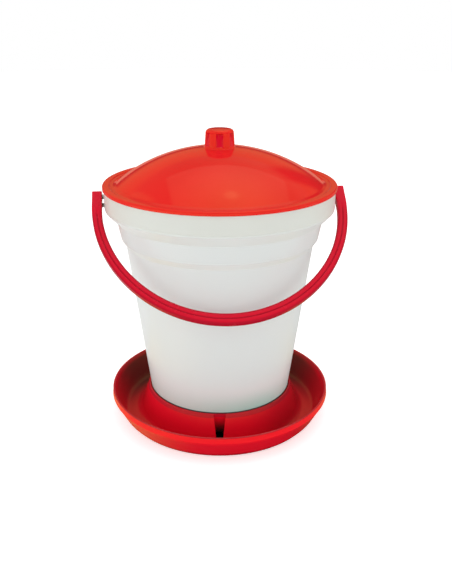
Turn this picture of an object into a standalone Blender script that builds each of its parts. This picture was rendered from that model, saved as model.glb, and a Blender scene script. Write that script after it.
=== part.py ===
"""Bucket drinker for poultry: a filling bucket with an airtight lid and a swinging bail,
standing in a round drinking tray that meters the water through a valve in the bucket floor.

Frame: metres, +Z up, origin on the ground at the centre of the tray. The bail turns about
an axis along X, and the photograph's side of the drinker faces -Y.
"""
import math

import bmesh
import bpy
from mathutils import Matrix, Vector

# Fits between the pieces
SEAT_GAP = 0.0003
SLIDE_GAP = 0.0006
FACETS = 60
SMALL_FACETS = 24

# Drinking tray, from the collar's foot outwards
TROUGH_FLOOR_WIDTH = 0.0173
TRAY_WALL_LEAN = 0.0210
TRAY_LIP_REACH = 0.0020
TRAY_RIM_HEIGHT = 0.0380
TRAY_LIP_DEPTH = 0.0080
TRAY_LIP_DRAFT = 0.0012
TRAY_LIP_ROUND = 0.0014
TRAY_WALL = 0.0024
TRAY_CORNER_HEIGHT = 0.0070
TRAY_CORNER_FLARE = 0.0092
TRAY_FLOOR = 0.0026

# Collar that holds the bucket, with its water channel and the outlet at the channel's foot
CHANNEL_BACK = 0.0012
CHANNEL_SIDE = 0.0016
OUTLET_HEIGHT = 0.0085
COLLAR_TOP = 0.0414
COLLAR_WALL = 0.0024
COLLAR_FLARE = 0.0130
COLLAR_FOOT_ROUND = 0.0080
COLLAR_CLEARANCE = 0.0004
SLOT_TOP_WIDTH = 0.0158
SLOT_FOOT_WIDTH = 0.0078
SLOT_SILL = 0.0007
SLOT_TURN = math.radians(-5.6)

# Ribs that carry the bucket's foot, and the post that lifts the valve
RIB_COUNT = 4
RIB_TOP = 0.0102
RIB_THICKNESS = 0.0026
RIB_INNER_OVERLAP = 0.0120
POST_TOP = 0.0147
POST_TOP_RADIUS = 0.0035
POST_FOOT_RADIUS = 0.0048

# Bucket: heights from its foot up, and how far each part of the wall leans or steps out
BUCKET_WALL = 0.0022
BUCKET_TAPER_LEAN = 0.0302
BUCKET_TAPER_HEIGHT = 0.2390
BUCKET_FLOOR_RECESS = 0.0136
BUCKET_FLOOR = 0.0026
STEP_HEIGHT = 0.0085
STEP_REACH = 0.0064
BAND_HEIGHT = 0.0235
BAND_LEAN = 0.0038
SHOULDER_HEIGHT = 0.0145
SHOULDER_REACH = 0.0146
RIM_BAND_HEIGHT = 0.0255
RIM_BAND_LEAN = 0.0010
EDGE_ROUND = 0.0016
LIP_HEIGHT = 0.0022
LIP_WALL = 0.0023

# Studs that the bail turns on, and the lugs that it rests on
STUD_DROP = 0.0117
STUD_RADIUS = 0.0030
STUD_HEAD_RADIUS = 0.0039
STUD_HEAD_LENGTH = 0.0015
LUG_PROUD = 0.0045
LUG_HEIGHT = 0.0040
LUG_REACH = 0.0042

# Lid
LID_RADIUS = 0.1500
LID_OVERHANG = 0.0008
LID_RIM_HEIGHT = 0.0048
LID_RIM_WIDTH = 0.0095
LID_RIM_ROUND = 0.0024
LID_SKIRT_WALL = 0.0016
LID_WALL = 0.0022
LID_GROOVE_DEPTH = 0.0015
LID_FLANGE_SLOPE = 0.0040
DOME_FOOT_RISE = 0.0050
DOME_FOOT_INSET = 0.0178
DOME_HEIGHT = 0.0446
SPIGOT_DEPTH = 0.0150
SPIGOT_CLEARANCE = 0.0034
KNOB_HEIGHT = 0.0222
KNOB_FOOT_RADIUS = 0.0192
KNOB_TOP_RADIUS = 0.0172
KNOB_EDGE_ROUND = 0.0030
KNOB_WALL = 0.0042
FLUTE_COUNT = 6
FLUTE_RADIUS = 0.0048
FLUTE_DEPTH = 0.0022
FLUTE_FOOT_RISE = 0.0030
FLUTE_TOP_DROP = 0.0026
FLUTE_TURN = math.radians(-5.6)

# Rubber ring round the lid's spigot
SEAL_HEIGHT = 0.0060
SEAL_GROOVE = 0.0012
SEAL_ROUND = 0.0010

# Bail
BAIL_BOW_INSET = 0.0016
BAIL_BOW_EXTRA = 0.0079
BAIL_OFFSET = 0.0180
BAIL_STRAIGHT = 0.0120
BAIL_TAIL = 0.0055
BAIL_WIDTH = 0.0126
BAIL_GRIP_WIDTH = 0.0143
BAIL_THICKNESS = 0.0088
BAIL_EYE_THICKNESS = 0.0106
BAIL_EYE_LENGTH = 0.0150
BAIL_EYE_FADE = 0.0200
BAIL_CORNER = 0.0012
BAIL_GROOVE_DEPTH = 0.0009
BAIL_GROOVE_WIDTH = 0.0016
BAIL_SIDE_CLEARANCE = 0.0014
BAIL_STEPS = 44
BAIL_REST_TILT = math.radians(51.0)
EYE_CLEARANCE = 0.0003
EYE_SINK = 0.0019

# Valve in the bucket's floor
VALVE_BORE_RADIUS = 0.0060
VALVE_THREAD_RADIUS = 0.0085
VALVE_FLANGE_RADIUS = 0.0145
VALVE_FLANGE = 0.0026
VALVE_SEAT_BEVEL = 0.0010
VALVE_LENGTH_BELOW = 0.0076
WASHER_THICKNESS = 0.0014
NUT_HEIGHT = 0.0050
NUT_ACROSS_FLATS = 0.0240
NUT_CLEARANCE = 0.0003
SPIDER_DEPTH = 0.0020
SPIDER_RING = 0.0015
SPIDER_WEB = 0.0014
SPIDER_DROP = 0.0030
STEM_RADIUS = 0.0020
STEM_CLEARANCE = 0.0003
STEM_HEAD_RADIUS = 0.0095
STEM_HEAD = 0.0022
STEM_LIFT = 0.0040
STEM_TIP_BELOW_CLIP = 0.0016
VALVE_SEAL_THICKNESS = 0.0018
VALVE_SEAL_INNER_RADIUS = 0.0040
CLIP_THICKNESS = 0.0009
CLIP_RADIUS = 0.0046
CLIP_GROOVE = 0.0005
SPRING_WIRE_RADIUS = 0.0004
SPRING_RADIUS = 0.0034
SPRING_TURNS = 3.5
SPRING_POINTS_PER_TURN = 12

RED = (0.69, 0.014, 0.020)
LID_RED = (0.76, 0.040, 0.020)
WHITE = (0.74, 0.75, 0.73)
RUBBER = (0.03, 0.03, 0.03)
VALVE_GREY = (0.30, 0.31, 0.32)
STEEL = (0.56, 0.57, 0.58)

# Radii that follow from the lid: rim band, shoulder, band, step, taper, foot
RIM_BAND_TOP_RADIUS = LID_RADIUS - LID_OVERHANG
RIM_BAND_FOOT_RADIUS = RIM_BAND_TOP_RADIUS - RIM_BAND_LEAN
BAND_TOP_RADIUS = RIM_BAND_FOOT_RADIUS - SHOULDER_REACH
BAND_FOOT_RADIUS = BAND_TOP_RADIUS - BAND_LEAN
BUCKET_TAPER_TOP_RADIUS = BAND_FOOT_RADIUS - STEP_REACH
BUCKET_FOOT_RADIUS = BUCKET_TAPER_TOP_RADIUS - BUCKET_TAPER_LEAN
DOME_FOOT_RADIUS = LID_RADIUS - DOME_FOOT_INSET

# Heights that follow from the stack: ribs, foot, walls, ledge, lid
FOOT_Z = RIB_TOP + SEAT_GAP
TAPER_TOP_Z = FOOT_Z + BUCKET_TAPER_HEIGHT
BAND_FOOT_Z = TAPER_TOP_Z + STEP_HEIGHT
BAND_TOP_Z = BAND_FOOT_Z + BAND_HEIGHT
RIM_BAND_FOOT_Z = BAND_TOP_Z + SHOULDER_HEIGHT
LEDGE_Z = RIM_BAND_FOOT_Z + RIM_BAND_HEIGHT
LIP_TOP_Z = LEDGE_Z + LIP_HEIGHT
LID_EDGE_Z = LEDGE_Z + SEAT_GAP
FLOOR_UNDER_Z = FOOT_Z + BUCKET_FLOOR_RECESS
FLOOR_TOP_Z = FLOOR_UNDER_Z + BUCKET_FLOOR
HINGE_Z = LEDGE_Z - STUD_DROP
LIP_OUTER_RADIUS = LID_RADIUS - LID_SKIRT_WALL - SLIDE_GAP
LIP_INNER_RADIUS = LIP_OUTER_RADIUS - LIP_WALL
RIM_TOP_Z = LID_EDGE_Z + LID_RIM_HEIGHT
GROOVE_Z = RIM_TOP_Z - LID_GROOVE_DEPTH
SPIGOT_RADIUS = LIP_INNER_RADIUS - SPIGOT_CLEARANCE
DOME_RADIUS = (DOME_FOOT_RADIUS ** 2 + DOME_HEIGHT ** 2) / (2 * DOME_HEIGHT)
DOME_TOP_Z = LID_EDGE_Z + DOME_FOOT_RISE + DOME_HEIGHT
DOME_CENTRE_Z = DOME_TOP_Z - DOME_RADIUS
KNOB_TOP_Z = DOME_TOP_Z + KNOB_HEIGHT
BAIL_ARM_X = RIM_BAND_TOP_RADIUS + BAIL_SIDE_CLEARANCE + BAIL_WIDTH / 2
BAIL_SPAN = BAIL_ARM_X - BAIL_BOW_INSET
BAIL_REACH = BAIL_ARM_X + BAIL_BOW_EXTRA


def bucket_radius(z):
    """Outer radius of the plain tapered wall at height z."""
    slope = BUCKET_TAPER_LEAN / BUCKET_TAPER_HEIGHT
    return BUCKET_FOOT_RADIUS + slope * (z - FOOT_Z)


# The collar fits round the bucket, and the trough lies round the collar
COLLAR_INNER_RADIUS = bucket_radius(COLLAR_TOP) + COLLAR_CLEARANCE
COLLAR_OUTER_RADIUS = COLLAR_INNER_RADIUS + COLLAR_WALL
COLLAR_FOOT_RADIUS = COLLAR_OUTER_RADIUS + COLLAR_FLARE
TRAY_BASE_RADIUS = COLLAR_FOOT_RADIUS + TROUGH_FLOOR_WIDTH
TRAY_WALL_TOP_RADIUS = TRAY_BASE_RADIUS + TRAY_WALL_LEAN
TRAY_RIM_RADIUS = TRAY_WALL_TOP_RADIUS + TRAY_LIP_REACH


def clear_scene():
    for old in list(bpy.data.objects):
        bpy.data.objects.remove(old, do_unlink=True)
    for old in list(bpy.data.collections):
        bpy.data.collections.remove(old)


def new_collection(name):
    collection = bpy.data.collections.new(name)
    bpy.context.scene.collection.children.link(collection)
    return collection


def make_material(name, colour, roughness, metallic=0.0):
    material = bpy.data.materials.new(name)
    material.use_nodes = True
    shader = material.node_tree.nodes["Principled BSDF"]
    shader.inputs["Base Color"].default_value = (*colour, 1.0)
    shader.inputs["Roughness"].default_value = roughness
    shader.inputs["Metallic"].default_value = metallic
    material.diffuse_color = (*colour, 1.0)
    return material


def add_object(name, mesh, collection, material=None):
    thing = bpy.data.objects.new(name, mesh)
    collection.objects.link(thing)
    if material:
        mesh.materials.append(material)
    return thing


def mesh_from_bmesh(name, shape):
    mesh = bpy.data.meshes.new(name)
    shape.to_mesh(mesh)
    shape.free()
    return mesh


def arc(centre_r, centre_z, radius, start, end, steps):
    """Points (r, z) on an arc, its angles in degrees from +r towards +z."""
    points = []
    for index in range(steps + 1):
        angle = math.radians(start + (end - start) * index / steps)
        points.append((centre_r + radius * math.cos(angle), centre_z + radius * math.sin(angle)))
    return points


def turned(name, profile, collection, material, closed, facets=FACETS):
    """A body of revolution from a profile that runs down its outer side."""
    mesh = bpy.data.meshes.new(name)
    edges = [(index, index + 1) for index in range(len(profile) - 1)]
    if closed:
        edges.append((len(profile) - 1, 0))
    mesh.from_pydata([(r, 0.0, z) for r, z in profile], edges, [])
    thing = add_object(name, mesh, collection, material)
    screw = thing.modifiers.new("turn", "SCREW")
    screw.steps = facets
    screw.render_steps = facets
    screw.use_smooth_shade = True
    screw.use_merge_vertices = True
    screw.merge_threshold = 0.00001
    return thing


def as_cutter(thing):
    thing.hide_render = True
    thing.display_type = "WIRE"
    return thing


def cut(thing, cutter, operation="DIFFERENCE"):
    boolean = thing.modifiers.new(cutter.name, "BOOLEAN")
    boolean.operation = operation
    boolean.solver = "EXACT"
    boolean.object = cutter


def prism(name, outline, start, end, collection, turn=0.0):
    """A solid along X, from start to end, whose outline is a list of (y, z) at each end."""
    shape = bmesh.new()
    first = [shape.verts.new((start, y, z)) for y, z in outline]
    last = [shape.verts.new((end, y, z)) for y, z in outline]
    count = len(outline)
    shape.faces.new(list(reversed(first)))
    shape.faces.new(last)
    for index in range(count):
        after = (index + 1) % count
        shape.faces.new((first[index], first[after], last[after], last[index]))
    bmesh.ops.recalc_face_normals(shape, faces=shape.faces)
    shape.transform(Matrix.Rotation(turn, 4, "Z"))
    return add_object(name, mesh_from_bmesh(name, shape), collection)


def rod_along_x(shape, radius, start, end, z, facets=SMALL_FACETS):
    """Adds a cylinder along X to a bmesh."""
    place = Matrix.Translation(((start + end) / 2, 0.0, z)) @ Matrix.Rotation(math.pi / 2, 4, "Y")
    bmesh.ops.create_cone(
        shape, cap_ends=True, segments=facets, radius1=radius, radius2=radius,
        depth=abs(end - start), matrix=place)


def build_tray(parts, cutters, material):
    collar_inner = COLLAR_INNER_RADIUS
    collar_outer = COLLAR_OUTER_RADIUS
    collar_foot = COLLAR_FOOT_RADIUS
    round_z = TRAY_FLOOR + COLLAR_FOOT_ROUND * 0.62
    round_r = collar_foot - COLLAR_FLARE * (round_z - TRAY_FLOOR) / (COLLAR_TOP - TRAY_FLOOR)
    wall_foot = TRAY_BASE_RADIUS + TRAY_CORNER_FLARE
    inner_foot = wall_foot - TRAY_WALL
    inner_top = TRAY_WALL_TOP_RADIUS - TRAY_WALL
    lip_foot_z = TRAY_RIM_HEIGHT - TRAY_LIP_DEPTH
    profile = [
        (0.0, POST_TOP),
        (POST_TOP_RADIUS, POST_TOP),
        (POST_FOOT_RADIUS, TRAY_FLOOR),
        (collar_inner + COLLAR_FLARE, TRAY_FLOOR),
        (collar_inner, COLLAR_TOP),
        (collar_outer, COLLAR_TOP),
        (round_r, round_z),
        (collar_foot + COLLAR_FOOT_ROUND * 0.28, TRAY_FLOOR + COLLAR_FOOT_ROUND * 0.16),
        (collar_foot + COLLAR_FOOT_ROUND, TRAY_FLOOR),
        (inner_foot - TRAY_CORNER_HEIGHT, TRAY_FLOOR),
        (inner_foot - TRAY_CORNER_HEIGHT * 0.30, TRAY_FLOOR + TRAY_CORNER_HEIGHT * 0.25),
        (inner_foot + TRAY_WALL * 0.4, TRAY_FLOOR + TRAY_CORNER_HEIGHT),
        (inner_top, TRAY_RIM_HEIGHT - TRAY_LIP_ROUND),
        (inner_top + TRAY_LIP_ROUND, TRAY_RIM_HEIGHT),
        (TRAY_RIM_RADIUS - TRAY_LIP_ROUND, TRAY_RIM_HEIGHT),
        (TRAY_RIM_RADIUS, TRAY_RIM_HEIGHT - TRAY_LIP_ROUND),
        (TRAY_RIM_RADIUS - TRAY_LIP_DRAFT, lip_foot_z),
        (TRAY_WALL_TOP_RADIUS, lip_foot_z - TRAY_LIP_ROUND),
        (wall_foot, TRAY_CORNER_HEIGHT),
        (wall_foot - TRAY_CORNER_FLARE * 0.30, TRAY_CORNER_HEIGHT * 0.25),
        (TRAY_BASE_RADIUS, 0.0),
        (0.0, 0.0),
    ]
    tray = turned("drinking_tray", profile, parts, material, closed=False)

    # A wedge inside the collar, cut through by the slot, becomes the channel's two sides
    slot_foot = TRAY_FLOOR + SLOT_SILL
    slot_top = COLLAR_TOP + COLLAR_WALL
    outlet_top = slot_foot + OUTLET_HEIGHT
    wedge_top = COLLAR_TOP - SEAT_GAP
    back_top = collar_inner + COLLAR_CLEARANCE / 2
    back_foot = bucket_radius(outlet_top) + COLLAR_CLEARANCE * 2
    back_lean = (back_top - back_foot) / (wedge_top - outlet_top)
    wedge_foot = back_foot - back_lean * (outlet_top - TRAY_FLOOR / 2)
    inset = CHANNEL_BACK / 2
    side = SLOT_TOP_WIDTH / 2 + CHANNEL_SIDE
    outline = [
        (wedge_foot + inset, TRAY_FLOOR / 2), (collar_foot - COLLAR_WALL / 2, TRAY_FLOOR / 2),
        (collar_outer - COLLAR_WALL / 2, wedge_top), (back_top + inset, wedge_top)]
    wedge = prism("channel_wedge", outline, -side, side, cutters, turn=SLOT_TURN - math.pi)
    cut(tray, as_cutter(wedge), "UNION")

    spread = (SLOT_TOP_WIDTH - SLOT_FOOT_WIDTH) * (slot_top - slot_foot) / (COLLAR_TOP - slot_foot)
    top_half = (SLOT_FOOT_WIDTH + spread) / 2
    outline = [
        (-SLOT_FOOT_WIDTH / 2, slot_foot), (SLOT_FOOT_WIDTH / 2, slot_foot),
        (top_half, slot_top), (-top_half, slot_top)]
    slot = prism(
        "water_slot_cutter", outline, wedge_foot - CHANNEL_BACK,
        collar_foot + COLLAR_FOOT_ROUND, cutters, turn=SLOT_TURN - math.pi / 2)
    cut(tray, as_cutter(slot))

    # The channel's back wall hangs between its sides and leaves the outlet open under it
    outline = [
        (back_foot, outlet_top), (back_foot + CHANNEL_BACK, outlet_top),
        (back_top + CHANNEL_BACK, wedge_top), (back_top, wedge_top)]
    half = side - CHANNEL_SIDE / 2
    back = prism("channel_back", outline, -half, half, cutters, turn=SLOT_TURN - math.pi)
    cut(tray, as_cutter(back), "UNION")

    rib_root_z = TRAY_FLOOR / 2
    rib_inner = BUCKET_FOOT_RADIUS - BUCKET_WALL - RIB_INNER_OVERLAP
    rib_outer = collar_inner + COLLAR_FLARE * (COLLAR_TOP - RIB_TOP) / (COLLAR_TOP - TRAY_FLOOR)
    half = RIB_THICKNESS / 2
    for index in range(RIB_COUNT):
        turn = math.radians(45.0) + 2 * math.pi * index / RIB_COUNT
        outline = [(-half, rib_root_z), (half, rib_root_z), (half, RIB_TOP), (-half, RIB_TOP)]
        rib = prism(
            "rib_%d" % (index + 1), outline, rib_inner, rib_outer + COLLAR_WALL / 2, cutters,
            turn=turn)
        cut(tray, as_cutter(rib), "UNION")
    return tray


def build_bucket(parts, cutters, material):
    step = EDGE_ROUND
    inner_band_top = BAND_TOP_RADIUS - BUCKET_WALL
    inner_band_foot = BAND_FOOT_RADIUS - BUCKET_WALL
    inner_taper_top = BUCKET_TAPER_TOP_RADIUS - BUCKET_WALL
    hole = VALVE_THREAD_RADIUS + NUT_CLEARANCE
    foot_inner = BUCKET_FOOT_RADIUS - BUCKET_WALL
    profile = [
        (LIP_OUTER_RADIUS, LIP_TOP_Z),
        (LIP_OUTER_RADIUS, LEDGE_Z),
        (RIM_BAND_TOP_RADIUS, LEDGE_Z),
        (RIM_BAND_FOOT_RADIUS, RIM_BAND_FOOT_Z + step),
        (RIM_BAND_FOOT_RADIUS - step, RIM_BAND_FOOT_Z),
        (BAND_TOP_RADIUS + step, BAND_TOP_Z + step),
        (BAND_TOP_RADIUS, BAND_TOP_Z),
        (BAND_FOOT_RADIUS, BAND_FOOT_Z + step / 2),
        (BAND_FOOT_RADIUS - step / 2, BAND_FOOT_Z),
        (BUCKET_TAPER_TOP_RADIUS + step / 2, TAPER_TOP_Z + step / 2),
        (BUCKET_TAPER_TOP_RADIUS, TAPER_TOP_Z),
        (BUCKET_FOOT_RADIUS, FOOT_Z),
        (foot_inner, FOOT_Z),
        (foot_inner, FLOOR_UNDER_Z),
        (hole, FLOOR_UNDER_Z),
        (hole, FLOOR_TOP_Z),
        (bucket_radius(FLOOR_TOP_Z) - BUCKET_WALL - step, FLOOR_TOP_Z),
        (bucket_radius(FLOOR_TOP_Z + step) - BUCKET_WALL, FLOOR_TOP_Z + step),
        (inner_taper_top, TAPER_TOP_Z),
        (inner_band_foot, BAND_FOOT_Z + step),
        (inner_band_top, BAND_TOP_Z + step),
        (LIP_INNER_RADIUS, RIM_BAND_FOOT_Z + step),
        (LIP_INNER_RADIUS, LIP_TOP_Z),
    ]
    bucket = turned("bucket", profile, parts, material, closed=True)

    head_end = BAIL_ARM_X + BAIL_WIDTH / 2 - (EYE_SINK - STUD_HEAD_LENGTH)
    head_start = head_end - STUD_HEAD_LENGTH
    root = RIM_BAND_FOOT_RADIUS - LIP_WALL
    tail_sweep = math.hypot(BAIL_TAIL, BAIL_EYE_THICKNESS / 2) + SLIDE_GAP
    lug_top = HINGE_Z - tail_sweep
    lug_foot = lug_top - LUG_HEIGHT
    # The lug's shoulders lie a seat gap under the resting arm
    under_arm = BAIL_EYE_THICKNESS / 2 + SEAT_GAP
    sin_rest = math.sin(BAIL_REST_TILT)
    cos_rest = math.cos(BAIL_REST_TILT)

    def arm_y(z):
        """Distance from the hinge plane at which the resting arm's underside has height z."""
        return (HINGE_Z - z - under_arm / sin_rest) * sin_rest / cos_rest

    shoulder = arm_y(lug_top)
    outer = shoulder + LUG_REACH
    outer_z = lug_top - LUG_REACH * cos_rest / sin_rest
    outline = [
        (-outer, lug_foot), (outer, lug_foot), (outer, outer_z),
        (shoulder, lug_top), (-shoulder, lug_top), (-outer, outer_z)]
    for side, label in ((1, "right"), (-1, "left")):
        shape = bmesh.new()
        rod_along_x(shape, STUD_RADIUS, side * root, side * (head_start + SEAT_GAP), HINGE_Z)
        stud = add_object(
            "stud_%s" % label, mesh_from_bmesh("stud", shape), cutters)
        cut(bucket, as_cutter(stud), "UNION")
        shape = bmesh.new()
        rod_along_x(shape, STUD_HEAD_RADIUS, side * head_start, side * head_end, HINGE_Z)
        head = add_object(
            "stud_head_%s" % label, mesh_from_bmesh("stud_head", shape), cutters)
        cut(bucket, as_cutter(head), "UNION")
        lug = prism(
            "lug_%s" % label, outline, root, RIM_BAND_FOOT_RADIUS + LUG_PROUD, cutters,
            turn=0.0 if side > 0 else math.pi)
        cut(bucket, as_cutter(lug), "UNION")
    return bucket


def build_lid(parts, cutters, material):
    knob_foot_z = DOME_CENTRE_Z + math.sqrt(DOME_RADIUS ** 2 - KNOB_FOOT_RADIUS ** 2)
    start = math.degrees(math.acos(KNOB_FOOT_RADIUS / DOME_RADIUS))
    end = math.degrees(math.acos(DOME_FOOT_RADIUS / DOME_RADIUS))
    inner_radius = DOME_RADIUS - LID_WALL
    flange_under = GROOVE_Z - LID_WALL
    inner_end = math.degrees(math.asin((flange_under - DOME_CENTRE_Z) / inner_radius))
    cavity_foot = KNOB_FOOT_RADIUS - KNOB_WALL
    inner_start = math.degrees(math.acos(cavity_foot / inner_radius))
    cavity_top = KNOB_TOP_RADIUS - KNOB_WALL
    rim_inner = LID_RADIUS - LID_RIM_WIDTH
    channel_top = LIP_TOP_Z + SLIDE_GAP
    channel_inner = SPIGOT_RADIUS
    skirt_inner = LID_RADIUS - LID_SKIRT_WALL
    seal_top = flange_under - LID_WALL
    seal_foot = seal_top - SEAL_HEIGHT - 2 * SEAT_GAP
    groove_r = SPIGOT_RADIUS - SEAL_GROOVE
    spigot_inner = groove_r - LID_WALL
    spigot_foot = flange_under - SPIGOT_DEPTH
    profile = [
        (0.0, KNOB_TOP_Z),
        (KNOB_TOP_RADIUS - KNOB_EDGE_ROUND, KNOB_TOP_Z),
        (KNOB_TOP_RADIUS - KNOB_EDGE_ROUND * 0.3, KNOB_TOP_Z - KNOB_EDGE_ROUND * 0.3),
        (KNOB_TOP_RADIUS, KNOB_TOP_Z - KNOB_EDGE_ROUND),
        (KNOB_FOOT_RADIUS, knob_foot_z + SEAT_GAP)]
    profile += arc(0.0, DOME_CENTRE_Z, DOME_RADIUS, start - 0.4, end, 8)
    profile += [
        (DOME_FOOT_RADIUS + LID_FLANGE_SLOPE, GROOVE_Z),
        (rim_inner, GROOVE_Z),
        (rim_inner + LID_RIM_ROUND * 0.6, RIM_TOP_Z - SEAT_GAP),
        (LID_RADIUS - LID_RIM_ROUND, RIM_TOP_Z),
        (LID_RADIUS, RIM_TOP_Z - LID_RIM_ROUND),
        (LID_RADIUS, LID_EDGE_Z),
        (skirt_inner, LID_EDGE_Z),
        (skirt_inner, channel_top),
        (channel_inner, channel_top),
        (channel_inner, seal_top),
        (groove_r, seal_top),
        (groove_r, seal_foot),
        (channel_inner, seal_foot),
        (channel_inner - LID_WALL / 2, spigot_foot),
        (spigot_inner, spigot_foot),
        (spigot_inner, flange_under)]
    profile += arc(0.0, DOME_CENTRE_Z, inner_radius, inner_end, inner_start, 6)
    profile += [(cavity_top, KNOB_TOP_Z - LID_WALL - KNOB_EDGE_ROUND), (0.0, KNOB_TOP_Z - LID_WALL)]
    lid = turned("lid", profile, parts, material, closed=False)

    foot_z = knob_foot_z + FLUTE_FOOT_RISE
    top_z = KNOB_TOP_Z - FLUTE_TOP_DROP
    lean = (KNOB_FOOT_RADIUS - KNOB_TOP_RADIUS) / (KNOB_TOP_Z - knob_foot_z)
    away = FLUTE_RADIUS - FLUTE_DEPTH
    flutes = bmesh.new()
    for index in range(FLUTE_COUNT):
        turn = 2 * math.pi * index / FLUTE_COUNT + FLUTE_TURN - math.pi / 2
        length = top_z + KNOB_EDGE_ROUND * 2 - foot_z
        centre_z = foot_z + length / 2
        centre_r = KNOB_FOOT_RADIUS - lean * (centre_z - knob_foot_z) + away
        place = Matrix.Rotation(turn, 4, "Z") @ Matrix.Translation((centre_r, 0.0, centre_z))
        place = place @ Matrix.Rotation(-math.atan(lean), 4, "Y")
        bmesh.ops.create_cone(
            flutes, cap_ends=True, segments=16, radius1=FLUTE_RADIUS, radius2=FLUTE_RADIUS,
            depth=length, matrix=place)
    cutter = add_object("flute_cutter", mesh_from_bmesh("flutes", flutes), cutters)
    cut(lid, as_cutter(cutter))
    return lid


def build_seal(parts, material):
    inner = SPIGOT_RADIUS - SEAL_GROOVE + SEAT_GAP
    outer = LIP_INNER_RADIUS - SEAT_GAP
    top = GROOVE_Z - 2 * LID_WALL - SEAT_GAP
    foot = top - SEAL_HEIGHT
    profile = [
        (inner, top), (outer - SEAL_ROUND, top), (outer, top - SEAL_ROUND),
        (outer, foot + SEAL_ROUND), (outer - SEAL_ROUND, foot), (inner, foot)]
    return turned("lid_seal", profile, parts, material, closed=True)


def bail_path():
    """Stations along the bail: along the hinge, away from it, tangent, width and thickness."""
    stations = []
    first = math.asin(max(-0.5, min(0.5, (BAIL_STRAIGHT - BAIL_OFFSET) / BAIL_REACH)))
    arc_x = BAIL_SPAN * math.cos(first)
    stretch = BAIL_ARM_X / arc_x
    arm = [-BAIL_TAIL, -BAIL_TAIL / 2, BAIL_TAIL / 2, BAIL_TAIL, BAIL_STRAIGHT]
    for away in arm[:-1]:
        stations.append((BAIL_ARM_X, away))
    for index in range(BAIL_STEPS + 1):
        angle = first + (math.pi - 2 * first) * index / BAIL_STEPS
        blend = math.sin(angle) ** 2
        along = BAIL_SPAN * math.cos(angle) * (stretch * (1 - blend) + blend)
        stations.append((along, BAIL_OFFSET + BAIL_REACH * math.sin(angle)))
    for away in reversed(arm[:-1]):
        stations.append((-BAIL_ARM_X, away))
    return stations


def bail_section(width, thickness, groove):
    """Outline (outward, across) of the bail, with two grooves along each broad face."""
    half_w = width / 2
    half_t = thickness / 2
    corner = BAIL_CORNER
    centre = half_w * 0.40
    half_g = BAIL_GROOVE_WIDTH / 2
    face = [-half_w + corner, -centre - half_g, -centre, -centre + half_g,
            centre - half_g, centre, centre + half_g, half_w - corner]
    depth = [0.0, 0.0, groove, 0.0, 0.0, groove, 0.0, 0.0]
    outline = [(u, half_t - d) for u, d in zip(face, depth)]
    outline += [(half_w, half_t - corner), (half_w, -half_t + corner)]
    outline += [(u, -half_t + d) for u, d in zip(reversed(face), reversed(depth))]
    outline += [(-half_w, -half_t + corner), (-half_w, half_t - corner)]
    return outline


def build_handle(parts, cutters, material):
    stations = bail_path()
    shape = bmesh.new()
    rings = []
    count = len(stations)
    reach = BAIL_OFFSET + BAIL_REACH
    for index, (along, away) in enumerate(stations):
        before = stations[max(index - 1, 0)]
        after = stations[min(index + 1, count - 1)]
        tangent = Vector((after[0] - before[0], after[1] - before[1])).normalized()
        outward = Vector((tangent.y, -tangent.x))
        if outward.dot(Vector((along, away))) < 0:
            outward = -outward
        share = max(0.0, away / reach)
        width = BAIL_WIDTH + (BAIL_GRIP_WIDTH - BAIL_WIDTH) * share ** 2
        fade = min(1.0, max(0.0, (away - BAIL_EYE_LENGTH) / BAIL_EYE_FADE))
        thickness = BAIL_EYE_THICKNESS + (BAIL_THICKNESS - BAIL_EYE_THICKNESS) * fade
        ring = []
        for u, v in bail_section(width, thickness, BAIL_GROOVE_DEPTH * fade):
            x = along + outward.x * u
            z = -(away + outward.y * u)
            ring.append(shape.verts.new((x, v, z)))
        rings.append(ring)
    sides = len(rings[0])
    for first, second in zip(rings[:-1], rings[1:]):
        for index in range(sides):
            after = (index + 1) % sides
            shape.faces.new((first[index], first[after], second[after], second[index]))
    shape.faces.new(list(reversed(rings[0])))
    shape.faces.new(rings[-1])
    bmesh.ops.recalc_face_normals(shape, faces=shape.faces)
    handle = add_object("handle", mesh_from_bmesh("handle", shape), parts, material)
    handle.location = (0.0, 0.0, HINGE_Z)
    handle.rotation_euler = (-BAIL_REST_TILT, 0.0, 0.0)

    outer_face = BAIL_ARM_X + BAIL_WIDTH / 2
    for side, label in ((1, "right"), (-1, "left")):
        bore = bmesh.new()
        rod_along_x(
            bore, STUD_RADIUS + EYE_CLEARANCE, side * (outer_face - BAIL_WIDTH * 1.5),
            side * (outer_face + BAIL_WIDTH), HINGE_Z)
        cutter = add_object("eye_cutter_%s" % label, mesh_from_bmesh("eye", bore), cutters)
        cut(handle, as_cutter(cutter))
        sink = bmesh.new()
        rod_along_x(
            sink, STUD_HEAD_RADIUS + EYE_CLEARANCE, side * (outer_face - EYE_SINK),
            side * (outer_face + BAIL_WIDTH), HINGE_Z)
        cutter = add_object("eye_sink_%s" % label, mesh_from_bmesh("sink", sink), cutters)
        cut(handle, as_cutter(cutter))
    return handle


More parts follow.
